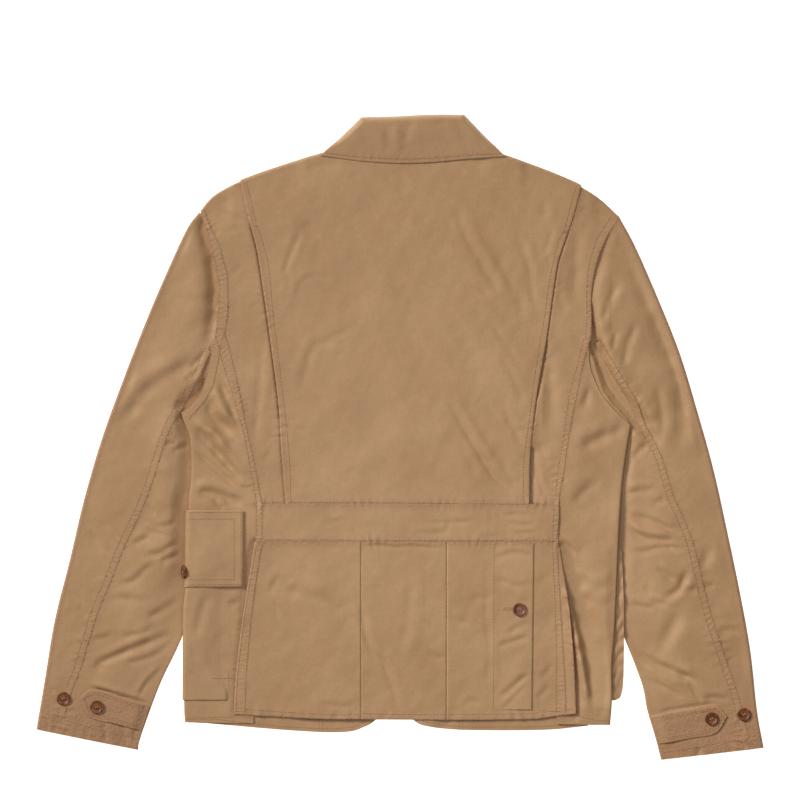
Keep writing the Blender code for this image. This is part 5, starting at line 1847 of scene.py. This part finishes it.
@dataclass
class Collar:
    """Turned-down collar: the fall over the back, the stand and the two front ends."""

    bench: Bench
    top_height: float = 17.0
    edge_height: float = 13.6
    roll: float = 8.0
    stand_height: float = 2.9

    def fall(self) -> None:
        """Make the fall."""
        top = [(-47, 385), (-6, 386), (36, 388), (77, 388)]
        edge = [(-95, 338), (-50, 332), (-6, 329), (36, 330), (82, 334), (127, 337)]
        left = [(-47, 385), (-53, 378), (-95, 338)]
        right = [(77, 388), (119, 344), (127, 337)]
        across = np.r_[0, 0.002, 0.005, 0.01, 0.017, 0.026, np.linspace(0.036, 0.964, 110),
                       0.974, 0.983, 0.99, 0.995, 0.998, 1]
        down = np.r_[0, 0.008, 0.02, 0.036, 0.056, np.linspace(0.08, 0.97, 32), 0.985, 1.0]
        plan = patch(Run(top), Run(edge), Run(left), Run(right), across, down)
        x, y = plan[..., 0], plan[..., 1]
        away = np.minimum.reduce([np.abs(Run(line, False).near(x, y)[0])
                                  for line in (top, left, right)])
        share = np.sqrt(1.0 - (1.0 - np.clip(away / self.roll, 0.0, 1.0)) ** 2)
        low = down[:, None]
        crest = self.edge_height + (self.top_height - self.edge_height) * ease((1 - low) / 0.7)
        foot = 0.4 + (self.edge_height - 0.8) * ease((low - 0.5) / 0.3)
        gathers = [Gather(Run.on_mat(((327.5, 154), (395, 159.6), (430, 159), (487, 153.5))),
                          6.0, 0.22, 9.0, 61)]
        relief = Relief(COLLAR_CREASES, gathers, loose=0.3, seed=51, depth=1.0)
        lift = relief.at(x, y) * ease(away / 9.0)
        height = foot + (crest - foot) * share + lift
        to_edge = np.abs(Run(edge).near(x, y)[0])
        height += softened_edge(to_edge, 0.6, 1.6)
        # the darker seam colour along the edge stitching is partly painted shade of its puckers
        self.bench.cloth("collar_fall", lifted(plan, height), Facing.UP,
                         relief.seam_share(x, y) * 0.6, np.exp(-(to_edge / 1.6) ** 2))

    def stand(self) -> None:
        """Make the stand."""
        foot = [(-82, 346.5), *[(x, y + 3.5) for x, y in Line.NECK[1:-1]], (111, 345.5)]
        plan = patch(Run([(-44, 381), (-6, 382.5), (36, 384.5), (74, 384.5)]), Run(foot),
                     Run([(-44, 381), (-82, 346.5)]), Run([(74, 384.5), (111, 345.5)]),
                     np.linspace(0, 1, 30), np.linspace(0, 1, 8))
        self.bench.cloth("collar_stand", lifted(plan, np.full(plan.shape[:2], self.stand_height)),
                         Facing.UP)

    def ends(self) -> None:
        """Make the collar's front ends, on the underside."""
        middle = float(LAY.centre_line(330.0))
        for side in Side:
            m = side.value
            fold = [(middle + m * dx, y) for dx, y in ((52, 375), (66, 330), (52, 290), (14, 262))]
            point = [(middle + m * dx, y) for dx, y in ((100, 340), (104, 290), (96, 236))]
            plan = patch(Run([fold[0], point[0]]), Run([fold[-1], point[-1]]), Run(fold),
                         Run(point), np.linspace(0, 1, 18), np.linspace(0, 1, 30))
            self.bench.cloth(f"collar_front_{side.name.lower()}",
                             lifted(plan, np.zeros(plan.shape[:2])), Facing.DOWN)

    def build(self) -> None:
        """Build all of it."""
        self.fall()
        self.stand()
        self.ends()


LEFT_SLEEVE_CREASES: Sequence[Row] = (
    (7.5, -1.2, "112,426 126,417 151,388 191,363 209,349"),
    (8, 0.4, "119,410 147,378 188,354"),
    (16, -0.7, "128,444 171,400 187,390 201,378"),
    (8, -3.8, "187,184 206,229 212,250 216,275 217,294 215,315 206,360"),
    (12, 1.1, "172,196 182,215 190,238 198,275 198,294 194,315 187,335"),
    (4, -2.6, "219,336 217,352 208,388 200,403 187,420"),
    (12, 1.1, "190,372 170,422 166,450 167,510 156,590"),
    (3, -1.1, "207,350 199,361 190,369"),
    (3, -1.2, "204,364 195,375 184,383"),
    (3, -1.1, "200,379 190,389 178,396"),
    (2.6, -1, "194,394 183,403 170,409"),
    (3, -1.3, "172,452 182,448 190,446"),
    (3, -0.7, "165,443 172,444 178,444"),
    (2.6, -0.7, "152,526 165,526 178,522"),
    (2.6, -0.6, "142,530 155,532 168,536"),
    (2.6, -0.6, "148,504 152,510 156,516"),
    (3, -0.8, "132,545 142,540 152,535"),
    (3, -0.9, "143,555 160,553 172,546 183,543"),
    (3, -1.2, "160,562 170,558 181,553"),
    (3.4, -0.8, "117,580 127,583 137,578 148,568 160,563"),
    (4, -0.6, "110,597 130,599 150,601"),
    (3.4, -0.9, "145,618 160,612 181,598"),
    (3, -0.6, "90,640 105,637 115,633"),
    (3, -0.7, "120,637 140,634 155,628"),
    (3.6, -1.2, "85,667 100,667 105,660 181,630"),
    (4, 0.3, "100,658 138,637 160,628"),
    (3, -0.8, "120,665 155,655 180,635"),
    (2.6, -1, "137,700 150,680 166,666"),
    (3.4, -0.6, "88,528 95,540 103,555"),
    (3, -0.5, "78,605 83,612 88,618"),
    (3, -0.5, "85,620 90,628 95,635"),
    (2.6, -0.5, "48,684 52,688 56,692"),
    (3, -1.2, "108,715 119,722 125,733 128,746"),
    (5, -1, "134,744 141,728 148,711"),
    (3, -0.7, "150,690 155,680 163,672"),
    (2.6, -0.5, "87,727 87,733 88,738"),
    (2, -1.6, "86,685 142,702 154,708"),
    (3, -0.9, "102,722 106,733 108,743"),
)

RIGHT_SLEEVE_CREASES: Sequence[Row] = (
    (8, -1.4, "622,245 670,355 680,385 683,420 678,460"),
    (5, -0.7, "655,380 662,420 655,450"),
    (4, -0.6, "620,280 610,300 600,325"),
    (4, -0.6, "637,320 628,345 622,370"),
    (3.4, -0.6, "616,330 613,345 610,350"),
    (5, -0.7, "614,222 606,240 600,262 596,290"),
    (6, -1.4, "594,262 591,290 592,340"),
    (6, -4.2, "586,300 592,335 608,375 616,389 637,415 662,452"),
    (6, 2.9, "576,300 583,335 586,362 593,380 602,396 613,410 649,450"),
    (5, -1.2, "630,420 626,445 624,480 622,610"),
    (2.6, -0.8, "590,350 597,352 604,355"),
    (2.6, -0.8, "594,363 602,365 609,369"),
    (3, -0.8, "612,397 622,398 632,401"),
    (3.4, -0.8, "633,460 640,450 650,443"),
    (3.6, -1, "622,480 626,468 630,455"),
    (3.4, -0.9, "622,495 640,491 655,490"),
    (3.4, -0.6, "650,505 658,502 665,498"),
    (3.4, -0.9, "625,515 650,520 680,535"),
    (3.4, -1.3, "622,524 645,538 680,541"),
    (3.4, 0.6, "630,523 641,529 670,533"),
    (3, -0.9, "628,552 645,551 660,547 680,548"),
    (2.8, -0.6, "665,545 674,548 682,549"),
    (3, -0.8, "655,567 667,575 675,582"),
    (3.6, -1.4, "688,567 680,587 672,594 660,597"),
    (3, -0.7, "683,590 690,590 697,590"),
    (3, -0.7, "651,598 658,603 668,603"),
    (3, -0.6, "645,585 648,590 650,595"),
    (3, -0.8, "625,602 640,606 655,608"),
    (7, -1.1, "680,610 665,640 655,648"),
    (6, -0.8, "710,545 705,560 700,570"),
    (3.4, -0.6, "715,630 730,630 742,632"),
    (3, -0.5, "700,587 708,586 715,585"),
    (3.6, -1.5, "626,636 645,658 690,678 705,688"),
    (3.6, 0.7, "640,662 656,672 688,687"),
    (2.6, -0.7, "643,676 668,689 685,697"),
    (3, -0.8, "688,680 695,692 702,705"),
    (3, -0.7, "702,697 716,697 730,699"),
    (2, -1.2, "722,702 683,708 648,715"),
    (3, -0.9, "700,746 698,752 697,758"),
)


@dataclass
class Sleeve:
    """One sleeve: a flat tube of two pieces, with a buttoned tab at the cuff."""

    bench: Bench
    side: Side
    outer_radius: float = 3.6
    inner_radius: float = 1.6
    bulge_reach: float = 0.32
    body: Run = field(init=False)
    under_share: float = 0.35
    rows: int = 250
    step: float = 2.4
    stations: Sequence[tuple[float, float, float]] = (
        # outer share, inner share, height of the cloth in the middle
        (0.00, 0.00, 9.6), (0.06, 0.015, 9.8), (0.12, 0.035, 10.0), (0.18, 0.055, 10.0),
        (0.24, 0.075, 10.0), (0.30, 0.10, 10.0), (0.36, 0.14, 9.8), (0.42, 0.20, 9.6),
        (0.48, 0.27, 9.4), (0.54, 0.355, 9.2), (0.60, 0.44, 9.0), (0.66, 0.53, 8.8),
        (0.72, 0.62, 8.6), (0.78, 0.70, 8.4), (0.84, 0.78, 8.0), (0.89, 0.85, 7.4),
        (0.94, 0.915, 7.0), (0.97, 0.955, 7.0), (1.00, 1.00, 7.0))

    def lines(self) -> tuple[Path, Path, Path, Path]:
        """The sleeve's outer fold, inner fold, back seam and armhole."""
        if self.side is Side.LEFT:
            outer = [(-241, 271), (-256, 250), (-281, 196), (-304, 142), (-332, 70), (-358, -2),
                     (-379, -74), (-396, -146), (-414, -218), (-426, -290), (-436, -349)]
            inner = [(-234, 57), (-245.5, 39), (-255, 28), (-255, 20), (-249, 8), (-243, -8),
                     (-243, -34), (-244, -59), (-249, -84), (-251, -146), (-255, -194),
                     (-259, -230), (-268, -254), (-285, -289), (-298, -322), (-312, -362),
                     (-314, -374)]
            seam = [(-216, 124), (-242, 74), (-262, 43), (-275, 20), (-287, -8), (-300, -50),
                    (-314, -88), (-335, -131), (-352, -174), (-376, -239), (-397, -302),
                    (-412, -360)]
            hole = Line.ARMHOLE_LEFT + Line.UNDERARM_LEFT[1:2] + inner[:1]
        else:
            outer = [(263, 265), (281, 232), (305, 178), (334, 106), (356, 34), (376, -38),
                     (392, -110), (407, -182), (420, -254), (428, -326), (436, -371)]
            inner = [(231, 46), (246, 25), (260, 11), (268, 3), (267, -6), (263, -20),
                     (259, -47), (258, -82), (255, -146), (254, -194), (259, -221), (269, -240),
                     (290, -295), (296, -325), (306, -359), (313, -386)]
            seam = [(224, 130), (254, 84), (277, 46), (287, 20), (307, -19), (317, -50),
                    (324, -68), (342, -114), (354, -151), (367, -206), (400, -307), (414, -385)]
            hole = Line.ARMHOLE_RIGHT + [(221, 92)] + inner[:1]
        return outer, inner, seam, hole

    def crossing(self, lines: np.ndarray, fine: np.ndarray, seam: Run) -> np.ndarray:
        """Find where each row meets the back seam.

        Args:
            lines: rows by samples of (x, y).
            fine: shares of the samples.
            seam: the back seam.

        Returns:
            A share for each row.
        """
        away, _ = seam.near(lines[..., 0], lines[..., 1])
        found = []
        for row in away:
            k = int(np.argmin(np.abs(row)))
            best = fine[k]
            for j in (k - 1, k):
                if 0 <= j < len(row) - 1 and row[j] * row[j + 1] < 0:
                    best = fine[j] + (fine[j + 1] - fine[j]) * row[j] / (row[j] - row[j + 1])
            found.append(best)
        wide = np.pad(found, 4, mode="edge")
        return np.convolve(wide, np.ones(9) / 9, mode="valid")

    def relief(self, seam: Path, hole: Path, outer: Path, inner: Path) -> Relief:
        """The sleeve's creases, and the gathers along its seams and cuff."""
        left = self.side is Side.LEFT
        table = LEFT_SLEEVE_CREASES if left else RIGHT_SLEEVE_CREASES
        gathers = [Gather(Run(seam), 11.0, 0.6, 7.5, 41 if left else 44),
                   Gather(Run(hole), 15.0, 0.3, 9.0, 25 if left else 26),
                   Gather(Run([outer[-1], inner[-1]]), 14.0, 0.4, 11.0, 43 if left else 46)]
        return Relief(table, gathers, loose=0.55, seed=71 if left else 81)

    def build(self) -> None:
        """Build both pieces of the tube."""
        outer, inner, seam, hole = self.lines()
        t = np.linspace(0.0, 1.0, self.rows)
        grid = np.linspace(0.0, 1.0, len(self.stations))
        table = np.array(self.stations)
        outer_share, inner_share, crest = (np.interp(t, grid, table[:, k]) for k in range(3))
        starts, ends = Run(outer).at(outer_share), Run(inner).at(inner_share)
        fine = np.linspace(0.0, 1.0, 121)
        armhole = Run(hole).at(fine)
        bulge = armhole - armhole[0] - (armhole[-1] - armhole[0]) * fine[:, None]
        weight = np.maximum(0.0, 1.0 - outer_share / self.bulge_reach) ** 1.3
        lines = (starts[:, None] + (ends - starts)[:, None] * fine[None, :, None]
                 + bulge[None] * weight[:, None, None])
        lines[0] += np.array([self.side.value * 2 * LAY.gap, 0.0])
        meets = self.crossing(lines, fine, Run(seam))
        relief = self.relief(seam, hole, outer, inner)
        word = self.side.name.lower()
        self.body = Run([*getattr(Line, f"UNDERARM_{word.upper()}"),
                         *getattr(Line, f"SIDE_{word.upper()}")[1:]])
        upper, lower = [], []
        tucks = (5.0 if self.side is Side.LEFT else 0.0) * (1.0 - ease((t - 0.58) / 0.12))
        for line, start, end, high, share, tuck in zip(lines, starts, ends, crest, meets, tucks):
            length = float(np.linalg.norm(end - start))
            first, last = self.outer_radius / length, 1.0 - self.inner_radius / length
            gap = LAY.gap / length
            upper.append(self.ring(line, fine, share - gap, first, last, length, high, relief,
                                   self.outer_radius, 52, 9, self.under_share - gap, tuck))
            lower.append(self.ring(line, fine, share + gap, last, first, length, high, relief,
                                   self.inner_radius, 46, 11, self.under_share + gap, tuck))
        for node, rings in ((f"sleeve_outer_{word}", upper), (f"sleeve_inner_{word}", lower)):
            net = np.array(rings)
            near = relief.seam_share(net[..., 0], net[..., 1]) * (net[..., 2] > 4.0) * 0.8
            # darker towards the cuffs: painted shade
            near = np.maximum(near, ease((t - 0.78) / 0.2)[:, None])
            away, _ = Run(outer, rounded=False).near(net[..., 0], net[..., 1])
            # darker along the outer fold, where the cloth turns away from the light: painted shade
            near = np.maximum(near, 1.3 * np.exp(-(away / 4.0) ** 2))
            self.bench.cloth(node, net, Facing.UP, near)

    def ring(self, line: np.ndarray, fine: np.ndarray, seam_at: float, fold_at: float,
             other_at: float, length: float, crest: float, relief: Relief, radius: float,
             top_count: int, under_count: int, under_at: float, tuck: float) -> np.ndarray:
        """One ring of a sleeve piece, from the back seam round its fold to the hidden seam.

        Args:
            line: plan of the row.
            fine: shares of the row's samples.
            seam_at: share at which the piece starts.
            fold_at: share at which it turns under.
            other_at: share at which the other piece turns under.
            length: length of the row.
            crest: height of the cloth in the middle.
            relief: the sleeve's relief.
            radius: radius of the fold.
            top_count: number of points on the upper side.
            under_count: number of points on the underside.
            under_at: share at which it ends on the underside.
            tuck: how far the flat rim along the inner fold lies under the body.

        Returns:
            Points of (x, y, z).
        """
        start, end = (fold_at, other_at) if fold_at < other_at else (other_at, fold_at)
        shares = np.linspace(seam_at, fold_at, top_count + 1)[:-1]
        under = np.linspace(fold_at, under_at, under_count)[1:]
        place = lambda s: np.column_stack([np.interp(s, fine, line[:, 0]),
                                           np.interp(s, fine, line[:, 1])])
        low_outer, low_inner = 2 * self.outer_radius, 2 * self.inner_radius
        from_outer, from_inner = (shares - start) * length, (end - shares) * length
        value = low_outer + (crest - low_outer) * ease(from_outer / 60.0)
        value = low_inner + (value - low_inner) * ease((from_inner - tuck) / (62.0 - 8.0 * tuck))
        plan = place(shares)
        lift = relief.at(plan[:, 0], plan[:, 1])
        calm = ease(from_outer / 12.0) * ease(from_inner / 14.0)
        room = ease(from_inner / 60.0)
        lift = np.where(lift > 0, lift, lift * (0.35 + 0.65 * room)) * calm
        outside = self.body.near(plan[:, 0], plan[:, 1])[0] * self.side.value
        roof = 7.4 + 0.8 * np.maximum(outside - 4.0, 0.0)
        under_body = (plan[:, 1] < 118.0) & (plan[:, 1] > -205.0)
        height = np.where(under_body, np.minimum(value + lift, roof), value + lift)
        top = np.column_stack([plan, np.maximum(height, 2.6)])
        fold = place(np.array([fold_at]))[0]
        rim = place(np.array([0.0 if fold_at < other_at else 1.0]))[0]
        along = (rim - fold) / np.linalg.norm(rim - fold)
        turned = [np.array([*(fold + along * radius * np.sin(a)), radius + radius * np.cos(a)])
                  for a in np.linspace(0.0, np.pi, 8)]
        flat = place(under)
        below = np.column_stack([flat, np.zeros(len(under))])
        return np.vstack([top, np.array(turned), below])


@dataclass
class CuffTab:
    """Buttoned tab on a cuff, its button and the spare one beside it."""

    bench: Bench
    side: Side
    crest: float = 7.0

    def build(self) -> None:
        """Build the tab and both buttons."""
        if self.side is Side.LEFT:
            upper = [(-384, -311), (-365, -301), (-310, -318), (-300.5, -321)]
            lower = [(-384, -312), (-371, -335), (-342, -342), (-310, -351)]
            tab_button, spare_button = (-363, -322), (-403, -312)
        else:
            upper = [(392, -333), (376, -320), (340, -326), (300.5, -333)]
            lower = [(392, -334), (378, -354), (348, -360), (310, -367)]
            tab_button, spare_button = (373, -336), (412, -331)
        word = self.side.name.lower()
        plan = patch(Run(upper), Run(lower), Run([upper[0], lower[0]]), Run([upper[-1], lower[-1]]),
                     spread(85.0, 1.6, 1.8, 0.6), spread(34.0, 1.6, 1.8, 0.6))
        x, y = plan[..., 0], plan[..., 1]
        rest = np.array([self.bench.shed.rest(a, b)[0] for a, b in zip(x.ravel(), y.ravel())])
        rest = rest.reshape(x.shape)
        solid = np.where(rest < 4.0, self.crest, rest)
        terms = np.column_stack([np.ones(x.size), x.ravel(), y.ravel()])
        plane = (terms @ np.linalg.lstsq(terms, solid.ravel(), rcond=None)[0]).reshape(x.shape)
        to_end = ease(np.abs(Run([upper[-1], lower[-1]]).near(x, y)[0]) / 14.0)
        plane = 2.6 + (plane - 2.6) * to_end
        away = np.minimum.reduce([np.abs(Run(line).near(x, y)[0]) for line in (upper, lower)])
        height = np.maximum(plane + LAY.lap, rest + 0.9) + softened_edge(away, 0.7, 1.6)
        height += 0.2 * swell(x, y, 26.0, 91)
        # the whole tab takes most of the darker seam colour: painted shade of the cuff
        self.bench.cloth(f"cuff_tab_{word}", lifted(plan, height), Facing.UP,
                         np.full(x.shape, 0.9), 0.6 * np.exp(-(away / 1.5) ** 2))
        for node, (bx, by) in ((f"cuff_tab_button_{word}", tab_button),
                               (f"cuff_spare_button_{word}", spare_button)):
            self.bench.set_button(node, (bx, by, self.bench.shed.rest(bx, by)[0] + 0.2),
                                  turn=0.4)


@dataclass
class Sewing:
    """Felled seams and rows of stitches on everything that shows."""

    bench: Bench
    inside: float = 1.0

    def felled(self, name: str, edges: tuple[np.ndarray, np.ndarray], seed: int,
               pucker: float = 0.3, lip: bool = False) -> list[Run]:
        """Lay one felled seam and return its two rows of stitches."""
        self.bench.tape(name, *edges, pucker=pucker, seed=seed, lip=lip)
        return list(inset(*edges, self.inside))

    def tacks(self, *bars: str) -> list[Run]:
        """Bar tacks: three short rows close together along each bar."""
        rows = []
        for bar in bars:
            (x0, y0), (x1, y1) = track(bar)
            rows += [Run.on_mat([(x0, y0 + k * 0.6), (x1, y1 + k * 0.6)]) for k in range(3)]
        return rows

    def back(self) -> None:
        """Sew the back: its seams, pleats, waistband, skirt and placket."""
        rows: list[Run] = []
        for seed, (name, near, far) in enumerate((
                ("armhole_left", "200,214 207.7,234 215,261 219.4,290 217.6,315 216,332 210,359 "
                 "202.5,388 193,402.5 181,413",
                 "205.3,211 212,229 219,242 224,259 228,275 229,300 227,326 222,345 218,368 213,388 "
                 "206,400 191,419"),
                ("armhole_right", "619.3,216.5 605.5,240 596.5,263 591.3,293 591.3,321 590.5,341",
                 "611,215 598,235 591,252 587,269 585.5,293 585.5,315 584,340"),
                ("back_left", "216,338 223,365 232,393 243,431 249,463 254,491 256,508 256,539",
                 "224,330 230,348 239,386 247,427 254,457 260,489 263,508 263,539"),
                ("back_right", "590,338 583,365 576,400 570,430 564,471 559.5,496 559,521 556.5,541",
                 "583,336 576,365 568,396 563,430 557,471 554,496 552,521 551,541"),
                ("vent_right", "557,543 559,580 561,613 563,646 565,679 566,711",
                 "551,543 553,586 554,613 555,646 555,679 555,711"),
                ("vent_left", "256.5,543 251,573 246,603 241,640 237,679 235.5,711",
                 "263,543 258,573 254,603 250,640 247,679 246,711")), 101):
            flat = name.startswith("vent")
            rows += self.felled(f"seam_{name}", both(near, far), seed, 0.18 if flat else 0.34,
                                name.startswith("armhole"))
        for path in (
                "247,183 257,225 261,236.5 268,262 271,288 274,319 279,360 282,386 286.5,424 "
                "290,466 291,502",
                "576,187 570,206 564,230 557,244 549,281 543.5,320 534.5,374 529,418 523.5,462 "
                "523,503",
                "266,502 330,502 400,502.5 470,503.5 549,504.5",
                "266,539.5 330,539.5 400,540 470,540 549,539.5",
                "494,544 493.5,600 493.5,650 493,707",
                "238,708 276,711 326,714 358,714", "364,713 404,714 444,714",
                "450,714 529,713 541,710 555,711 572,708",
                "187,717.5 210,717 232,716.5", "580,716 596,720 608,720",
                "188,719 210,718.5 243,722 284,726.5 326,728.5 350,727 360,723.5 371,717.5",
                "418,718.5 430,722.5 463,726.5 530,726.5 543,726 577,723",
                "319.5,722 319.5,731", "322.5,722 322.5,731", "459.5,724 459.5,729.5",
                "462.5,724 462.5,729.5"):
            rows.append(Run.on_mat(path))
        self.bench.sew("back", rows, seed=201)
        self.bench.sew("bar_tacks", self.tacks(
            "251,225 258.5,226.6", "283,423.5 288.5,424", "567,231 561,233", "531.5,426 526.5,427"),
            pitch=1.6, seed=206, holes=False)
        self.bench.sew("buttonhole", [Run.on_mat("503.5,607.5 508,607.4 512,607.5"),
                                      Run.on_mat("503.5,609.3 508,609.4 512,609.3")],
                       pitch=1.3, seed=205)

    def collar(self) -> None:
        """Sew the collar's edge."""
        self.bench.sew("collar", [
            Run.on_mat("327.5,154 350,157 395,159.6 430,159 470,156 499,154.5"),
            Run.on_mat("325,151 345,134 357,123")], seed=202)

    def sleeve(self, side: Side) -> None:
        """Sew a sleeve's back seam, its cuff and its tab."""
        if side is Side.LEFT:
            centre = ("208,350 205,357 196,376 182,402 171,421 161,445 150,480 138,511 121,547 "
                      "107,583 97,606 87,637 77,670 69,690 61,716")
            others = ("39,717 58,718 83,725 106,731 135,738", "84.5,697 96,692 119,698.5 143,706",
                      "84.5,699 92,713.5 115,720 137,726.5", "86,698 96,694 119,700.5 143,708",
                      "86,700 93,711.5 115,718 137,724.5")
        else:
            centre = ("596,342 603,353 613,369 632,401 640,422 657,455 665,481 669.5,496 686,534 "
                      "694.5,564 706,611 719,651 734,695 741,722 745,738")
            others = ("664,752 700,746 728,741 760,739", "723,716 712,708 684,713.5 657,718",
                      "723,717 713.5,729 690,735 664,739.5", "721,716 711,710 684,715.5 658,720",
                      "721,717.5 712.5,727 690,733 663,737.5")
        word = side.name.lower()
        edges = between(centre, 9.2)
        rows = self.felled(f"seam_sleeve_{word}", edges, 111 if side is Side.LEFT else 112, 0.32)
        rows += [Run.on_mat(path) for path in others]
        self.bench.sew(f"sleeve_{word}", rows, seed=203)

    def pocket(self) -> None:
        """Sew the left pocket's flap and bag."""
        self.bench.sew("pocket", [Run.on_mat(path, False) for path in (
            "187,511.8 215,511.8 241,511.8", "187,518.6 215,518.6 234.6,518.6",
            "187,579 215,579 234.6,579", "187,584 215,584 241.3,584",
            "241.3,512 241.3,560 241.3,584", "234.6,518.6 234.6,560 234.6,579",
            "229,671 229,684 229,698", "213,678 224,678 235,678")], seed=204)

    def build(self) -> None:
        """Sew all of it."""
        self.back()
        self.collar()
        for side in Side:
            self.sleeve(side)
        self.pocket()


@dataclass
class Studio:
    """White paper floor, soft light from the upper left, and a camera straight above."""

    distance: float = 4.0
    lens: float = 150.0
    middle: Point = (0.0, 0.0456)

    def build(self) -> None:
        """Build the floor, the lights and the camera."""
        bpy.ops.object.select_all(action="DESELECT")
        bpy.ops.mesh.primitive_plane_add(size=12.0, location=(0, 0, -0.0012))
        floor = bpy.context.active_object
        floor.name = "floor"
        floor.data.materials.append(PaleFloor().make())
        self.sun("window", (-0.75, 0.55, 0.62), 2.78)
        self.sun("far_window", (0.55, 0.65, 0.75), 0.2)
        self.box("overhead", (0.0, -0.1, 0.95), 0.5, 2.6)
        world = bpy.data.worlds.new("studio")
        world.use_nodes = True
        world.node_tree.nodes["Background"].inputs["Color"].default_value = (1, 1, 1, 1)
        world.node_tree.nodes["Background"].inputs["Strength"].default_value = 0.15
        bpy.context.scene.world = world
        bpy.context.scene.view_settings.view_transform = "Standard"
        lens = bpy.data.cameras.new("camera")
        lens.lens = self.lens
        lens.sensor_width = 36.0
        camera = bpy.data.objects.new("camera", lens)
        camera.location = (*self.middle, self.distance)
        bpy.context.scene.collection.objects.link(camera)
        bpy.context.scene.camera = camera

    def hang(self, name: str, lamp_data: bpy.types.Light, place: Sequence[float]) -> None:
        """Hang a light at a place, looking at the jacket."""
        lamp = bpy.data.objects.new(name, lamp_data)
        lamp.location = place
        lamp.rotation_euler = (-Vector(place)).to_track_quat("-Z", "Y").to_euler()
        bpy.context.scene.collection.objects.link(lamp)

    def sun(self, name: str, way: Sequence[float], strength: float) -> None:
        """Add even light through a large soft window, from a way."""
        window = bpy.data.lights.new(name, "SUN")
        window.energy, window.angle = strength, 0.32
        self.hang(name, window, way)

    def box(self, name: str, place: Sequence[float], size: float, power: float) -> None:
        """Add a square soft box at a place, its size in metres and its power in watts."""
        box = bpy.data.lights.new(name, "AREA")
        box.size, box.energy = size, power
        self.hang(name, box, place)


def declare() -> None:
    """Go through every cut piece and the names of the cloths that it rests on, keeping nothing."""
    for node, cut in CUTS.items():
        [f"cloth_{name}" for name in cut.rests_on]


def main() -> None:
    """Build the jacket piece by piece."""
    logging.basicConfig(level=logging.INFO, format="%(name)s: %(message)s")
    Studio().build()
    bench = Bench()
    form = BodyForm()
    steps = [Back(bench, form), Skirt(bench, form)]
    steps += [Flank(bench, form, side) for side in Side]
    steps += [PatchPockets(bench, form), Fronts(bench), Collar(bench)]
    steps += [Sleeve(bench, side) for side in Side]
    steps += [CuffTab(bench, side) for side in Side]
    steps += [Sewing(bench)]
    for step in steps:
        before = set(bench.made)
        step.build()
        for name in bench.made:
            if name not in before:
                log.info("%s: %d faces", name, len(bench.made[name].data.polygons))
    declare()


if __name__ == "__main__":
    main()
